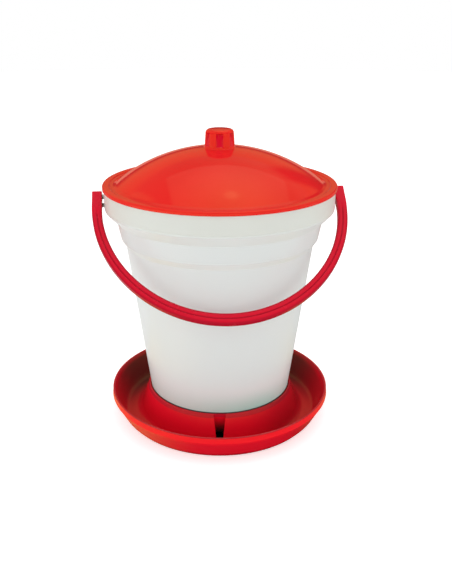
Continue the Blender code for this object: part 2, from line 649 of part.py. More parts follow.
def build_valve(parts, cutters, grey, rubber, steel):
    washer_foot = FLOOR_TOP_Z + SEAT_GAP
    washer_top = washer_foot + WASHER_THICKNESS
    flange_foot = washer_top + SEAT_GAP
    flange_top = flange_foot + VALVE_FLANGE
    body_foot = FLOOR_UNDER_Z - VALVE_LENGTH_BELOW
    turned("valve_washer", [
        (VALVE_FLANGE_RADIUS, washer_top), (VALVE_FLANGE_RADIUS, washer_foot),
        (VALVE_THREAD_RADIUS + NUT_CLEARANCE, washer_foot),
        (VALVE_THREAD_RADIUS + NUT_CLEARANCE, washer_top)],
        parts, rubber, closed=True, facets=SMALL_FACETS)

    body = turned("valve_body", [
        (VALVE_BORE_RADIUS + VALVE_SEAT_BEVEL, flange_top),
        (VALVE_FLANGE_RADIUS - VALVE_SEAT_BEVEL, flange_top),
        (VALVE_FLANGE_RADIUS, flange_top - VALVE_SEAT_BEVEL),
        (VALVE_FLANGE_RADIUS, flange_foot),
        (VALVE_THREAD_RADIUS, flange_foot),
        (VALVE_THREAD_RADIUS, body_foot),
        (VALVE_BORE_RADIUS, body_foot),
        (VALVE_BORE_RADIUS, flange_top - VALVE_SEAT_BEVEL)],
        parts, grey, closed=True, facets=SMALL_FACETS)
    spider_top = FLOOR_UNDER_Z + SPIDER_DROP
    spider_foot = spider_top - SPIDER_DEPTH
    guide = STEM_RADIUS + STEM_CLEARANCE
    ring = turned("spider_ring", [
        (guide + SPIDER_RING, spider_top), (guide + SPIDER_RING, spider_foot),
        (guide, spider_foot), (guide, spider_top)],
        cutters, None, closed=True, facets=SMALL_FACETS)
    half = SPIDER_WEB / 2
    for index in range(3):
        outline = [(-half, spider_foot), (half, spider_foot), (half, spider_top), (-half, spider_top)]
        web = prism(
            "spider_web_%d" % (index + 1), outline, guide + SPIDER_RING / 2,
            (VALVE_BORE_RADIUS + VALVE_THREAD_RADIUS) / 2, cutters,
            turn=2 * math.pi * index / 3 + math.radians(7.5))
        cut(body, as_cutter(web), "UNION")
    cut(body, as_cutter(ring), "UNION")

    nut_top = FLOOR_UNDER_Z - SEAT_GAP
    nut_shape = bmesh.new()
    bmesh.ops.create_cone(
        nut_shape, cap_ends=True, segments=6, radius1=NUT_ACROSS_FLATS / math.sqrt(3),
        radius2=NUT_ACROSS_FLATS / math.sqrt(3), depth=NUT_HEIGHT,
        matrix=Matrix.Translation((0.0, 0.0, nut_top - NUT_HEIGHT / 2)))
    nut = add_object("valve_nut", mesh_from_bmesh("valve_nut", nut_shape), parts, grey)
    bore = bmesh.new()
    bmesh.ops.create_cone(
        bore, cap_ends=True, segments=SMALL_FACETS, radius1=VALVE_THREAD_RADIUS + NUT_CLEARANCE,
        radius2=VALVE_THREAD_RADIUS + NUT_CLEARANCE, depth=NUT_HEIGHT * 2,
        matrix=Matrix.Translation((0.0, 0.0, nut_top - NUT_HEIGHT / 2)))
    cutter = add_object("nut_bore_cutter", mesh_from_bmesh("nut_bore", bore), cutters)
    cut(nut, as_cutter(cutter))

    tip = POST_TOP + SEAT_GAP
    clip_foot = tip + STEM_TIP_BELOW_CLIP
    clip_top = clip_foot + CLIP_THICKNESS
    seal_foot = flange_top + STEM_LIFT
    seal_top = seal_foot + VALVE_SEAL_THICKNESS
    head_foot = seal_top + SEAT_GAP
    neck = STEM_RADIUS - CLIP_GROOVE
    boss = VALVE_SEAL_INNER_RADIUS - SEAT_GAP
    turned("valve_stem", [
        (0.0, head_foot + STEM_HEAD),
        (STEM_HEAD_RADIUS - STEM_HEAD / 2, head_foot + STEM_HEAD),
        (STEM_HEAD_RADIUS, head_foot + STEM_HEAD / 2),
        (STEM_HEAD_RADIUS, head_foot),
        (boss, head_foot),
        (boss, seal_foot - SEAT_GAP),
        (STEM_RADIUS, seal_foot - VALVE_SEAL_THICKNESS),
        (STEM_RADIUS, clip_top + SEAT_GAP),
        (neck, clip_top + SEAT_GAP),
        (neck, clip_foot - SEAT_GAP),
        (STEM_RADIUS, clip_foot - SEAT_GAP),
        (STEM_RADIUS, tip + CLIP_GROOVE),
        (STEM_RADIUS - CLIP_GROOVE, tip),
        (0.0, tip)], parts, grey, closed=False, facets=SMALL_FACETS)
    turned("valve_seal", [
        (STEM_HEAD_RADIUS, seal_top), (STEM_HEAD_RADIUS, seal_foot),
        (VALVE_SEAL_INNER_RADIUS, seal_foot), (VALVE_SEAL_INNER_RADIUS, seal_top)],
        parts, rubber, closed=True, facets=SMALL_FACETS)
    turned("valve_clip", [
        (CLIP_RADIUS, clip_top), (CLIP_RADIUS, clip_foot),
        (neck + SEAT_GAP, clip_foot), (neck + SEAT_GAP, clip_top)],
        parts, steel, closed=True, facets=SMALL_FACETS)

    spring_foot = clip_top + SEAT_GAP + SPRING_WIRE_RADIUS
    spring_top = spider_foot - SEAT_GAP - SPRING_WIRE_RADIUS
    steps = int(SPRING_TURNS * SPRING_POINTS_PER_TURN)
    curve = bpy.data.curves.new("valve_spring", "CURVE")
    curve.dimensions = "3D"
    curve.bevel_depth = SPRING_WIRE_RADIUS
    curve.bevel_resolution = 2
    curve.use_fill_caps = True
    spline = curve.splines.new("POLY")
    spline.points.add(steps)
    for index in range(steps + 1):
        angle = 2 * math.pi * index / SPRING_POINTS_PER_TURN
        z = spring_foot + (spring_top - spring_foot) * index / steps
        spline.points[index].co = (
            SPRING_RADIUS * math.cos(angle), SPRING_RADIUS * math.sin(angle), z, 1.0)
    curve.materials.append(steel)
    spring = bpy.data.objects.new("valve_spring", curve)
    parts.objects.link(spring)


def main():
    clear_scene()
    parts = new_collection("bucket_drinker")
    cutters = new_collection("cutters")
    red = make_material("tray_red", RED, 0.35)
    lid_red = make_material("lid_red", LID_RED, 0.28)
    white = make_material("bucket_white", WHITE, 0.42)
    rubber = make_material("rubber", RUBBER, 0.70)
    grey = make_material("valve_plastic", VALVE_GREY, 0.45)
    steel = make_material("spring_steel", STEEL, 0.30, metallic=1.0)
    build_tray(parts, cutters, red)
    build_bucket(parts, cutters, white)
    build_lid(parts, cutters, lid_red)
    build_seal(parts, rubber)
    build_handle(parts, cutters, red)
    build_valve(parts, cutters, grey, rubber, steel)


main()
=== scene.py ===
"""Looks of the bucket drinker: finely turned plastic mouldings with their materials, studio and camera.

Frame: metres, +Z up, origin on the ground at the centre of the tray; the camera's side is -Y.
"""
import math

import bmesh
import bpy
from mathutils import Matrix, Vector


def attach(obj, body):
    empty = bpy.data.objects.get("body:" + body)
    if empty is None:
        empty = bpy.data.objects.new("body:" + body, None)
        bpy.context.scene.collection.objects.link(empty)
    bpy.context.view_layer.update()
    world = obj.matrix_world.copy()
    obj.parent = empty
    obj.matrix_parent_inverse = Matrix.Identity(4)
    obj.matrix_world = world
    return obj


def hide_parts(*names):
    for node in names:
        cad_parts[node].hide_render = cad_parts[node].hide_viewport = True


# Turn about +Z of the camera, the water slot and the knob's flutes, away from -Y
TURN = math.radians(5.6)

# Fits between the pieces
SEAT_GAP = 0.0003
SLIDE_GAP = 0.0006

# Fineness of the meshes
ROUND_FACETS = 288
LID_FACETS = 360
ROD_FACETS = 64
ROUND_STEPS = 40
SLOT_ROUND_STEPS = 12
BEVEL_STEPS = 3
DOME_STEPS = 90
DOME_UNDER_STEPS = 60
KNOB_STRETCH = 0.0006
BUCKET_STRETCH = 0.012
TRAY_STRETCH = 0.014
BAIL_STEPS = 200
BAIL_STRAIGHT_STEPS = 12
BAIL_FACE_STEPS = 28
BAIL_CORNER_STEPS = 6
BAIL_END_STEPS = 2
ON_AXIS = 1e-7
NEARLY_LEVEL = 1e-6
NEARLY_STRAIGHT = 0.01
LARGEST_SETBACK = 0.49
LID_SHARP_ANGLE = math.radians(50)
SHARP_ANGLE = math.radians(35)

# Drinking tray and its collar
RIB_TOP = 0.0102
COLLAR_TOP = 0.0414
COLLAR_WALL = 0.0024
COLLAR_FLARE = 0.0130
COLLAR_CLEARANCE = 0.0004
COLLAR_EDGE_ROUND = 0.0004
COLLAR_TOP_ROUND = 0.0014
COLLAR_FOOT_ROUND = 0.0100
TROUGH_FLOOR_WIDTH = 0.0173
TROUGH_ROUND = 0.0080
TROUGH_CORNER_INWARD = 0.45
TROUGH_CORNER_OUTWARD = 0.4
TRAY_WALL_LEAN = 0.0210
TRAY_LIP_REACH = 0.0020
TRAY_RIM_HEIGHT = 0.0380
TRAY_RIM_INNER_ROUND = 0.0012
TRAY_RIM_ROUND = 0.0016
TRAY_LIP_DEPTH = 0.0080
TRAY_LIP_DRAFT = 0.0012
TRAY_LIP_ROUND = 0.0008
TRAY_LIP_UNDERCUT = 0.0014
TRAY_LIP_TUCK = 0.0002
TRAY_LIP_ROOT_ROUND = 0.0012
TRAY_WALL = 0.0024
TRAY_CORNER_HEIGHT = 0.0070
TRAY_CORNER_FLARE = 0.0092
TRAY_CORNER_ROUND = 0.0120
TRAY_FOOT_REACH = 0.0030
TRAY_FOOT_ROUND = 0.0040
TRAY_FLOOR = 0.0026
TRAY_FLOOR_ROUND = 0.0010
RIB_COUNT = 4
RIB_THICKNESS = 0.0026
RIB_INNER_OVERLAP = 0.0120
RIB_TURN = math.radians(45.0)
POST_TOP = 0.0147
POST_TOP_RADIUS = 0.0035
POST_TOP_ROUND = 0.0006
POST_FOOT_RADIUS = 0.0048
SLOT_TOP_WIDTH = 0.0158
SLOT_FOOT_WIDTH = 0.0078
SLOT_SILL = 0.0007
SLOT_ROUND = 0.0010
SLOT_CUT_REACH = 0.0080
CHANNEL_BACK = 0.0012
CHANNEL_SIDE = 0.0016
OUTLET_HEIGHT = 0.0085

# Bucket
BUCKET_WALL = 0.0022
BUCKET_TAPER_LEAN = 0.0302
BUCKET_TAPER_HEIGHT = 0.2390
BUCKET_FOOT_ROUND = 0.0006
BUCKET_FLOOR_RECESS = 0.0136
BUCKET_FLOOR = 0.0026
BUCKET_FLOOR_ROUND = 0.0030
BUCKET_RECESS_ROUND = 0.0010
STEP_HEIGHT = 0.0085
STEP_REACH = 0.0064
STEP_TOP_ROUND = 0.0030
STEP_FOOT_ROUND = 0.0020
STEP_INNER_RISE = 0.0010
STEP_INNER_ROUND = 0.0060
BAND_HEIGHT = 0.0235
BAND_LEAN = 0.0038
BAND_INNER_ROUND = 0.0040
SHOULDER_HEIGHT = 0.0145
SHOULDER_REACH = 0.0146
SHOULDER_TOP_ROUND = 0.0040
SHOULDER_FOOT_ROUND = 0.0020
SHOULDER_INNER_RISE = 0.0014
SHOULDER_INNER_ROUND = 0.0060
RIM_BAND_HEIGHT = 0.0255
RIM_BAND_LEAN = 0.0010
RIM_BAND_ROUND = 0.0006
RIM_BAND_INNER_ROUND = 0.0050
BEAD_PROUD = 0.00025
BEAD_HEIGHT = 0.0014
BEAD_TOP_ROUND = 0.0010
BEAD_ROUND = 0.0004
RECESS_ROUND = 0.0006
RIM_BEAD_RISE = 0.0030
BAND_BEAD_RISE = 0.0024
LIP_HEIGHT = 0.0022
LIP_WALL = 0.0023
LIP_ROUND = 0.0005
VALVE_HOLE_RADIUS = 0.0088
STUD_DROP = 0.0117
STUD_RADIUS = 0.0030
STUD_ROOT_SHARE = 0.8
STUD_HEAD_RADIUS = 0.0039
STUD_HEAD_LENGTH = 0.0015
STUD_HEAD_BEVEL = 0.0004
LUG_PROUD = 0.0045
LUG_HEIGHT = 0.0040
LUG_REACH = 0.0042
LUG_BEVEL = 0.0005

# Lid and its knob; the turns are in degrees along the dome's arc
LID_RADIUS = 0.1500
LID_OVERHANG = 0.0008
LID_RIM_HEIGHT = 0.0048
LID_RIM_WIDTH = 0.0095
LID_RIM_SLOPE = 0.0011
LID_RIM_FOOT_ROUND = 0.0014
LID_RIM_TOP_ROUND = 0.0016
LID_EDGE_TOP_ROUND = 0.0024
LID_EDGE_ROUND = 0.0004
LID_SKIRT_WALL = 0.0016
LID_SKIRT_ROUND = 0.0003
LID_WALL = 0.0022
LID_GROOVE_DEPTH = 0.0015
LID_FLANGE_SLOPE = 0.0040
DOME_FOOT_RISE = 0.0050
DOME_FOOT_INSET = 0.0178
DOME_FOOT_ROUND = 0.0030
DOME_FOOT_TURN = 0.8
DOME_FOOT_JOIN = 0.1
DOME_UNDER_TURN = 0.4
DOME_HEIGHT = 0.0446
DOME_JOIN = 0.2
SPIGOT_DEPTH = 0.0150
SPIGOT_CLEARANCE = 0.0034
SPIGOT_ROUND = 0.0005
SPIGOT_ROOT_ROUND = 0.0008
SEAL_HEIGHT = 0.0060
SEAL_GROOVE = 0.0012
KNOB_HEIGHT = 0.0222
KNOB_FOOT_RADIUS = 0.0192
KNOB_FOOT_ROUND = 0.0016
KNOB_FOOT_TURN = 2.0
KNOB_TOP_RADIUS = 0.0172
KNOB_EDGE_ROUND = 0.0030
KNOB_CROWN_DROP = 0.0002
KNOB_CROWN_ROUND = 0.02
KNOB_CORNER = 0.0046
KNOB_CORNER_DROP = 0.0005
KNOB_CORNER_REACH = 0.0004
KNOB_WALL = 0.0042
FLUTE_COUNT = 6
FLUTE_RADIUS = 0.0048
FLUTE_DEPTH = 0.0022
FLUTE_FOOT_RISE = 0.0030
FLUTE_TOP_DROP = 0.0056
FLUTE_FADE = 0.0018
FLUTE_SIDE = 0.45
FLUTE_SPREAD = 1.45
FLUTE_TOP_SHARE = 1.60
FLUTE_FOOT_SHARE = 0.70
FLUTE_CLEAR_FOOT = 0.0008
FLUTE_CLEAR_TOP = 0.0006
FLUTE_CLEAR_SIDE = 0.0001

# Bail
BAIL_BOW_INSET = 0.0016
BAIL_BOW_EXTRA = 0.0079
BAIL_OFFSET = 0.0180
BAIL_STRAIGHT = 0.0120
BAIL_TAIL = 0.0055
BAIL_WIDTH = 0.0126
BAIL_GRIP_WIDTH = 0.0143
BAIL_THICKNESS = 0.0088
BAIL_EYE_THICKNESS = 0.0106
BAIL_EYE_LENGTH = 0.0150
BAIL_EYE_FADE = 0.0200
BAIL_CORNER = 0.0013
BAIL_END_BEVEL = 0.0006
BAIL_GROOVE_DEPTH = 0.0009
BAIL_GROOVE_WIDTH = 0.0030
BAIL_RIDGE_EDGE = 0.44
BAIL_SIDE_CLEARANCE = 0.0014
BAIL_REST_TILT = math.radians(51.0)
EYE_CLEARANCE = 0.0003
EYE_SINK = 0.0019
EYE_CUT_INWARD = 1.5

# Radii and heights that follow
RIM_BAND_TOP_RADIUS = LID_RADIUS - LID_OVERHANG
RIM_BAND_FOOT_RADIUS = RIM_BAND_TOP_RADIUS - RIM_BAND_LEAN
BAND_TOP_RADIUS = RIM_BAND_FOOT_RADIUS - SHOULDER_REACH
BAND_FOOT_RADIUS = BAND_TOP_RADIUS - BAND_LEAN
TAPER_TOP_RADIUS = BAND_FOOT_RADIUS - STEP_REACH
BUCKET_FOOT_RADIUS = TAPER_TOP_RADIUS - BUCKET_TAPER_LEAN
FOOT_Z = RIB_TOP + SEAT_GAP
TAPER_TOP_Z = FOOT_Z + BUCKET_TAPER_HEIGHT
BAND_FOOT_Z = TAPER_TOP_Z + STEP_HEIGHT
BAND_TOP_Z = BAND_FOOT_Z + BAND_HEIGHT
RIM_BAND_FOOT_Z = BAND_TOP_Z + SHOULDER_HEIGHT
LEDGE_Z = RIM_BAND_FOOT_Z + RIM_BAND_HEIGHT
LIP_TOP_Z = LEDGE_Z + LIP_HEIGHT
LID_EDGE_Z = LEDGE_Z + SEAT_GAP
FLOOR_UNDER_Z = FOOT_Z + BUCKET_FLOOR_RECESS
FLOOR_TOP_Z = FLOOR_UNDER_Z + BUCKET_FLOOR
HINGE_Z = LEDGE_Z - STUD_DROP
LIP_OUTER_RADIUS = LID_RADIUS - LID_SKIRT_WALL - SLIDE_GAP
LIP_INNER_RADIUS = LIP_OUTER_RADIUS - LIP_WALL
RIM_TOP_Z = LID_EDGE_Z + LID_RIM_HEIGHT
GROOVE_Z = RIM_TOP_Z - LID_GROOVE_DEPTH
SPIGOT_RADIUS = LIP_INNER_RADIUS - SPIGOT_CLEARANCE
DOME_FOOT_RADIUS = LID_RADIUS - DOME_FOOT_INSET
DOME_RADIUS = (DOME_FOOT_RADIUS ** 2 + DOME_HEIGHT ** 2) / (2 * DOME_HEIGHT)
DOME_TOP_Z = LID_EDGE_Z + DOME_FOOT_RISE + DOME_HEIGHT
DOME_CENTRE_Z = DOME_TOP_Z - DOME_RADIUS
KNOB_TOP_Z = DOME_TOP_Z + KNOB_HEIGHT
KNOB_FOOT_Z = DOME_CENTRE_Z + math.sqrt(DOME_RADIUS ** 2 - KNOB_FOOT_RADIUS ** 2)
BAIL_ARM_X = RIM_BAND_TOP_RADIUS + BAIL_SIDE_CLEARANCE + BAIL_WIDTH / 2
BAIL_SPAN = BAIL_ARM_X - BAIL_BOW_INSET
BAIL_REACH = BAIL_ARM_X + BAIL_BOW_EXTRA


def bucket_radius(z):
    """Outer radius of the plain tapered wall at height z."""
    return BUCKET_FOOT_RADIUS + BUCKET_TAPER_LEAN / BUCKET_TAPER_HEIGHT * (z - FOOT_Z)


def grey(level):
    """A colour with no hue."""
    return level, level, level


def turn_span(first, last):
    """A span of bearings, given in degrees."""
    return math.radians(first), math.radians(last)


COLLAR_INNER_RADIUS = bucket_radius(COLLAR_TOP) + COLLAR_CLEARANCE
COLLAR_OUTER_RADIUS = COLLAR_INNER_RADIUS + COLLAR_WALL
COLLAR_FOOT_RADIUS = COLLAR_OUTER_RADIUS + COLLAR_FLARE
TRAY_BASE_RADIUS = COLLAR_FOOT_RADIUS + TROUGH_FLOOR_WIDTH
TRAY_WALL_TOP_RADIUS = TRAY_BASE_RADIUS + TRAY_WALL_LEAN
TRAY_RIM_RADIUS = TRAY_WALL_TOP_RADIUS + TRAY_LIP_REACH

# Plastic in general: clouding in the colour, smears in the gloss, and a fine grain on the skin
CLOUD_SCALE = 14.0
CLOUD_DETAIL = 4.0
CLOUD_SPAN = (0.35, 0.65)
SMEAR_SCALE = 60.0
SMEAR_DETAIL = 3.0
GLOSS_SPREAD = 0.15
GRAIN_SCALE = 900.0
GRAIN_DETAIL = 2.0
GRAIN_STRENGTH = 0.35
PLASTIC_GRAIN = 0.00002
RUBBER_GRAIN = 0.00004
GLOW_RADII = (1.0, 0.9, 0.8)
GLOW_DEPTH = 0.004

# Bucket's painted light and shade, and the heights and places over which each comes in
WALL_PAINTED_LIGHT = (0.785, 0.825, 0.805)
WALL_LIGHT_SPAN = (RIM_BAND_FOOT_Z + 0.0040, RIM_BAND_FOOT_Z - 0.0020)
SLOPE_PAINTED_LIGHT = (0.85, 0.91, 0.87)
SLOPE_TOP_FADE = 0.0015
SLOPE_FOOT_FADE = 0.0008
FOOT_PAINTED_SHADE = (0.39, 0.76, 0.66)
FOOT_SPAN = (0.078, 0.034)
FOOT_SHARE = 0.35
FOOT_RIGHT_SHARE = 0.60
FOOT_RIGHT_SPAN = (-0.08, 0.05)
FOOT_EDGE_SHARE = -0.40
FOOT_EDGE_SPAN = (0.045, 0.085)
STUD_PAINTED_SHADE = (0.16, 0.16, 0.17)
STUD_SPAN = (RIM_BAND_TOP_RADIUS + 0.0004, RIM_BAND_TOP_RADIUS + 0.0008)
COLLAR_LINE_PAINTED_SHADE = (0.06, 0.07, 0.07)
COLLAR_LINE_SPAN = (COLLAR_TOP + 0.0016, COLLAR_TOP + 0.0002)

# Painted shade in the knob's flutes, which comes in with their depth and fades at both ends
FLUTE_PAINTED_SHADE = (0.76, 0.003, 0.032)
FLUTE_DEPTH_SPAN = (0.0002, 0.0014)
FLUTE_TOP_SPAN = (KNOB_TOP_Z - 0.0040, KNOB_TOP_Z - 0.0056)
FLUTE_FOOT_SPAN = (KNOB_FOOT_Z + 0.0010, KNOB_FOOT_Z + 0.0024)

# Painted shade in the bail's groove and on its narrow sides
BAIL_PAINTED_SHADE = (0.48, 0.003, 0.021)

# Tray's painted light and shade, and the heights and places over which each comes in
LIP_PAINTED_LIGHT = (0.98, 0.006, 0.022)
LIP_RISE_SPAN = (0.024, 0.030)
LIP_REACH_SPAN = (0.1480, 0.1500)
RIM_PAINTED_SHADE = (0.56, 0.010, 0.030)
RIM_SPAN = (TRAY_RIM_HEIGHT - 0.0028, TRAY_RIM_HEIGHT - 0.0010)
TROUGH_FRONT_PAINTED_SHADE = (0.060, 0.004, 0.010)
TROUGH_BACK_PAINTED_SHADE = (0.055, 0.022, 0.018)
TROUGH_BACK_SPAN = (-0.035, 0.080)
TROUGH_REACH_SPAN = (0.106, 0.128)
TROUGH_TOP = 0.0345
TROUGH_BACK_RISE = 0.006
TROUGH_FALL_SPAN = (-0.003, 0.010)
TROUGH_SHARE = 0.22
TROUGH_BACK_SHARE = 0.70
INSIDE_SPAN = (-0.0005, 0.0005)
UNDERSIDE_SPAN = (0.0012, 0.0018)
COLLAR_PAINTED_SHADE = (0.06, 0.010, 0.012)
COLLAR_SHADE_SHARE = 0.40
COLLAR_REACH_SPAN = (0.122, 0.112)
COLLAR_RIGHT_SPAN = (0.01, 0.09)
CHANNEL_PAINTED_SHADE = (0.020, 0.010, 0.010)
CHANNEL_MOUTH_SLOPE = -0.25
CHANNEL_MOUTH_REACH = 0.0103
CHANNEL_MOUTH_SPAN = (-0.0004, 0.0004)
CHANNEL_SIDE_SPAN = (0.0102, 0.0098)
CHANNEL_FRONT_SPAN = (0.0, -0.01)
CHANNEL_RISE_SPAN = (0.038, 0.010)

# Studio as reflections show it: spans of a direction's parts, and the doorway's bearings from +Y
SKIRTING_LIT = (0.72, 0.34, 0.24)
SKIRTING_SHADE = grey(0.03)
SKIRTING_TOP_SPAN = (0.07, 0.09)
WALL_FRONT = grey(0.06)
WALL_BACK = (0.50, 0.24, 0.10)
WALL_BACK_SPAN = (-0.25, 0.05)
WALL_FOOT_SPAN = (0.11, 0.26)
CEILING_MIDDLE = (0.17, 0.17, 0.10)
CEILING_RIGHT = (0.32, 0.32, 0.20)
CEILING_RIGHT_SPAN = (-0.2, 0.4)
CEILING_LEFT = (0.40, 0.38, 0.20)
CEILING_LEFT_SPAN = (-0.47, -0.51)
CEILING_SPAN = (0.48, 0.58)
DOORWAY_SHADE = grey(0.02)
DOORWAY_LEFT_SPAN = turn_span(23, 31)
DOORWAY_RIGHT_SPAN = turn_span(43, 36)
DOORWAY_TOP_SPAN = (0.68, 0.50)
DOORWAY_FOOT_SPAN = (0.03, 0.06)

# Light that the studio gives to the drinker's surfaces
HORIZON_RIGHT = grey(1.56)
HORIZON_LEFT = grey(1.76)
HORIZON_LEFT_SPAN = (0.1, -0.9)
HORIZON_FRONT = grey(1.40)
HORIZON_FRONT_SPAN = (-0.5, -1.0)
ZENITH = grey(0.66)
ZENITH_SPAN = (0.0, 0.85)

# Floor, and its tones in reflections by bearing from -Y, by distance and by depth
FLOOR_RADIUS = 6.0
FLOOR_SIDES = 64
FLOOR_DROP = 0.0002
FLOOR_COLOUR = grey(0.88)
FLOOR_FILL = 0.52
FLOOR_SHADE = grey(0.02)
FLOOR_TONE = (0.92, 0.92, 0.90)
FLOOR_LEFT_SPAN = turn_span(-12, -55)
FLOOR_RIGHT_SPAN = turn_span(30, 95)
FLOOR_RIGHT_SHARE = 0.55
FLOOR_NEAR_SPAN = (0.36, 0.60)
FLOOR_NEAR_SHARE = 0.6
FLOOR_FAR_SPAN = (0.9, 1.6)
FLOOR_DIM_START_SPAN = turn_span(5, 35)
FLOOR_DIM_END_SPAN = turn_span(120, 90)
FLOOR_DIM_SHARE = -0.5
FLOOR_WARM_TONE = (1.0, 0.78, 0.28)
FLOOR_WARM_REACH_SPAN = (0.42, 0.26)
FLOOR_WARM_DEEP_SPAN = (0.14, 0.06)
FLOOR_BACK_TONE = (0.70, 0.27, 0.19)
FLOOR_BACK_REACH_SPAN = (0.70, 0.85)
FLOOR_BACK_DEEP_SPAN = (0.0, 0.2)

# Softbox; its bulb's place is in shares of its width and depth
SOFTBOX_WIDTH = 2.60
SOFTBOX_DEPTH = 2.80
SOFTBOX_PLACE = (0.34, 0.40, 2.36)
SOFTBOX_LEVEL = 0.87
SOFTBOX_BULB = (0.47, 0.46)
CLOTH_LEVEL = 0.65
CLOTH_SPAN = (1.7, 0.0)
BULB_LEVEL = 0.75
BULB_SPAN = (0.22, 0.04)
EDGE_LEVEL = 0.22

# Camera: its focal length and shift in pixels of the photograph, its place and pitch in metres and radians
PHOTO_WIDTH = 452
CAMERA_FOCUS = 710.3
CAMERA_SHIFT_ACROSS = 6.3
CAMERA_SHIFT_UP = 0.5
CAMERA_SENSOR = 36.0
CAMERA_DISTANCE = 0.9009
CAMERA_HEIGHT = 0.5339
CAMERA_PITCH = 0.3815


def soft_step(share):
    """0 at 0 and below, 1 at 1 and above, smooth between."""
    share = min(1.0, max(0.0, share))
    return share * share * (3 - 2 * share)


def rounded(corners, closed=False, steps_per_turn=ROUND_STEPS):
    """A path (r, z) through corners (r, z, round), each corner turned on an arc of that radius."""
    points = []
    count = len(corners)
    for index, corner in enumerate(corners):
        here = Vector(corner[:2])
        radius = corner[2] if len(corner) > 2 else 0.0
        at_end = not closed and index in (0, count - 1)
        if at_end or radius <= 0.0:
            points.append((here.x, here.y))
            continue
        before = Vector(corners[index - 1][:2]) - here
        after = Vector(corners[(index + 1) % count][:2]) - here
        longest_setback = min(before.length, after.length) * LARGEST_SETBACK
        before.normalize()
        after.normalize()
        opening = before.angle(after)
        if opening > math.pi - NEARLY_STRAIGHT:
            points.append((here.x, here.y))
            continue
        setback = min(radius / math.tan(opening / 2), longest_setback)
        radius = setback * math.tan(opening / 2)
        bisector = (before + after).normalized()
        centre = here + bisector * (radius / math.sin(opening / 2))
        first = here + before * setback - centre
        turn = math.pi - opening
        side = 1.0 if first.x * after.y - first.y * after.x > 0 else -1.0
        steps = max(2, int(steps_per_turn * turn / math.pi))
        for step in range(steps + 1):
            angle = side * turn * step / steps
            spun = Vector((
                first.x * math.cos(angle) - first.y * math.sin(angle),
                first.x * math.sin(angle) + first.y * math.cos(angle)))
            points.append((centre.x + spun.x, centre.y + spun.y))
    return points


def dense(points, longest, closed=False):
    """The same path with no stretch longer than longest."""
    result = []
    count = len(points)
    last = count if closed else count - 1
    for index in range(last):
        a = Vector(points[index])
        b = Vector(points[(index + 1) % count])
        parts = max(1, math.ceil((b - a).length / longest))
        for part in range(parts):
            mix = a.lerp(b, part / parts)
            result.append((mix.x, mix.y))
    if not closed:
        result.append(tuple(points[-1]))
    return result


def on_dome(radius, degrees):
    """A point (r, z) of the lid's dome or its underside, its angle from +r towards +z."""
    angle = math.radians(degrees)
    return radius * math.cos(angle), DOME_CENTRE_Z + radius * math.sin(angle)


def dome_arc(radius, start, end, steps):
    """Points (r, z) along the dome or its underside, from one angle in degrees to another."""
    return [on_dome(radius, start + (end - start) * index / steps) for index in range(steps + 1)]


def turned(name, profile, closed, facets=ROUND_FACETS, bend=None):
    """A closed body of revolution; bend(radius, z, angle) may move a point's radius."""
    vertices = []
    rings = []
    for r, z in profile:
        if r < ON_AXIS:
            rings.append([len(vertices)])
            vertices.append((0.0, 0.0, z))
            continue
        ring = []
        for facet in range(facets):
            angle = 2 * math.pi * facet / facets
            radius = bend(r, z, angle) if bend else r
            ring.append(len(vertices))
            vertices.append((radius * math.cos(angle), radius * math.sin(angle), z))
        rings.append(ring)
    faces = []
    pairs = list(zip(rings[:-1], rings[1:]))
    if closed:
        pairs.append((rings[-1], rings[0]))
    for first, second in pairs:
        for facet in range(facets):
            after = (facet + 1) % facets
            if len(first) == 1:
                faces.append((first[0], second[after], second[facet]))
            elif len(second) == 1:
                faces.append((first[facet], first[after], second[0]))
            else:
                faces.append((first[facet], first[after], second[after], second[facet]))
    mesh = bpy.data.meshes.new(name)
    mesh.from_pydata(vertices, [], faces)
    shape = bmesh.new()
    shape.from_mesh(mesh)
    bmesh.ops.recalc_face_normals(shape, faces=shape.faces)
    shape.to_mesh(mesh)
    shape.free()
    return add_object(name, mesh)


def add_object(name, data):
    thing = bpy.data.objects.new(name, data)
    bpy.context.scene.collection.objects.link(thing)
    return thing


def from_bmesh(name, shape):
    mesh = bpy.data.meshes.new(name)
    shape.to_mesh(mesh)
    shape.free()
    return add_object(name, mesh)


def smooth(thing, angle):
    """Smooth shading that keeps the edges sharper than angle."""
    thing.data.shade_smooth()
    thing.data.set_sharp_from_angle(angle=angle)


def bevel_edges(shape, edges, width, steps):
    bmesh.ops.bevel(
        shape, geom=edges, offset=width, segments=steps, profile=0.5, affect="EDGES",
        clamp_overlap=True)


def combine(thing, others, operation):
    """Applies a boolean of thing with each of others, and removes them."""
    for other in others:
        change = thing.modifiers.new(other.name, "BOOLEAN")
        change.operation = operation
        change.solver = "EXACT"
        change.object = other
    bpy.context.view_layer.update()
    graph = bpy.context.evaluated_depsgraph_get()
    result = bpy.data.meshes.new_from_object(thing.evaluated_get(graph))
    thing.modifiers.clear()
    old = thing.data
    thing.data = result
    bpy.data.meshes.remove(old)
    for other in others:
        bpy.data.objects.remove(other)


def prism(name, outline, start, end, turn, bevel=0.0):
    """A solid along X, from start to end, whose outline is a list of (y, z), turned about Z."""
    shape = bmesh.new()
    first = [shape.verts.new((start, y, z)) for y, z in outline]
    last = [shape.verts.new((end, y, z)) for y, z in outline]
    count = len(outline)
    shape.faces.new(list(reversed(first)))
    shape.faces.new(last)
    for index in range(count):
        after = (index + 1) % count
        shape.faces.new((first[index], first[after], last[after], last[index]))
    bmesh.ops.recalc_face_normals(shape, faces=shape.faces)
    if bevel > 0.0:
        bevel_edges(shape, list(shape.edges), bevel, BEVEL_STEPS)
    shape.transform(Matrix.Rotation(turn, 4, "Z"))
    return from_bmesh(name, shape)


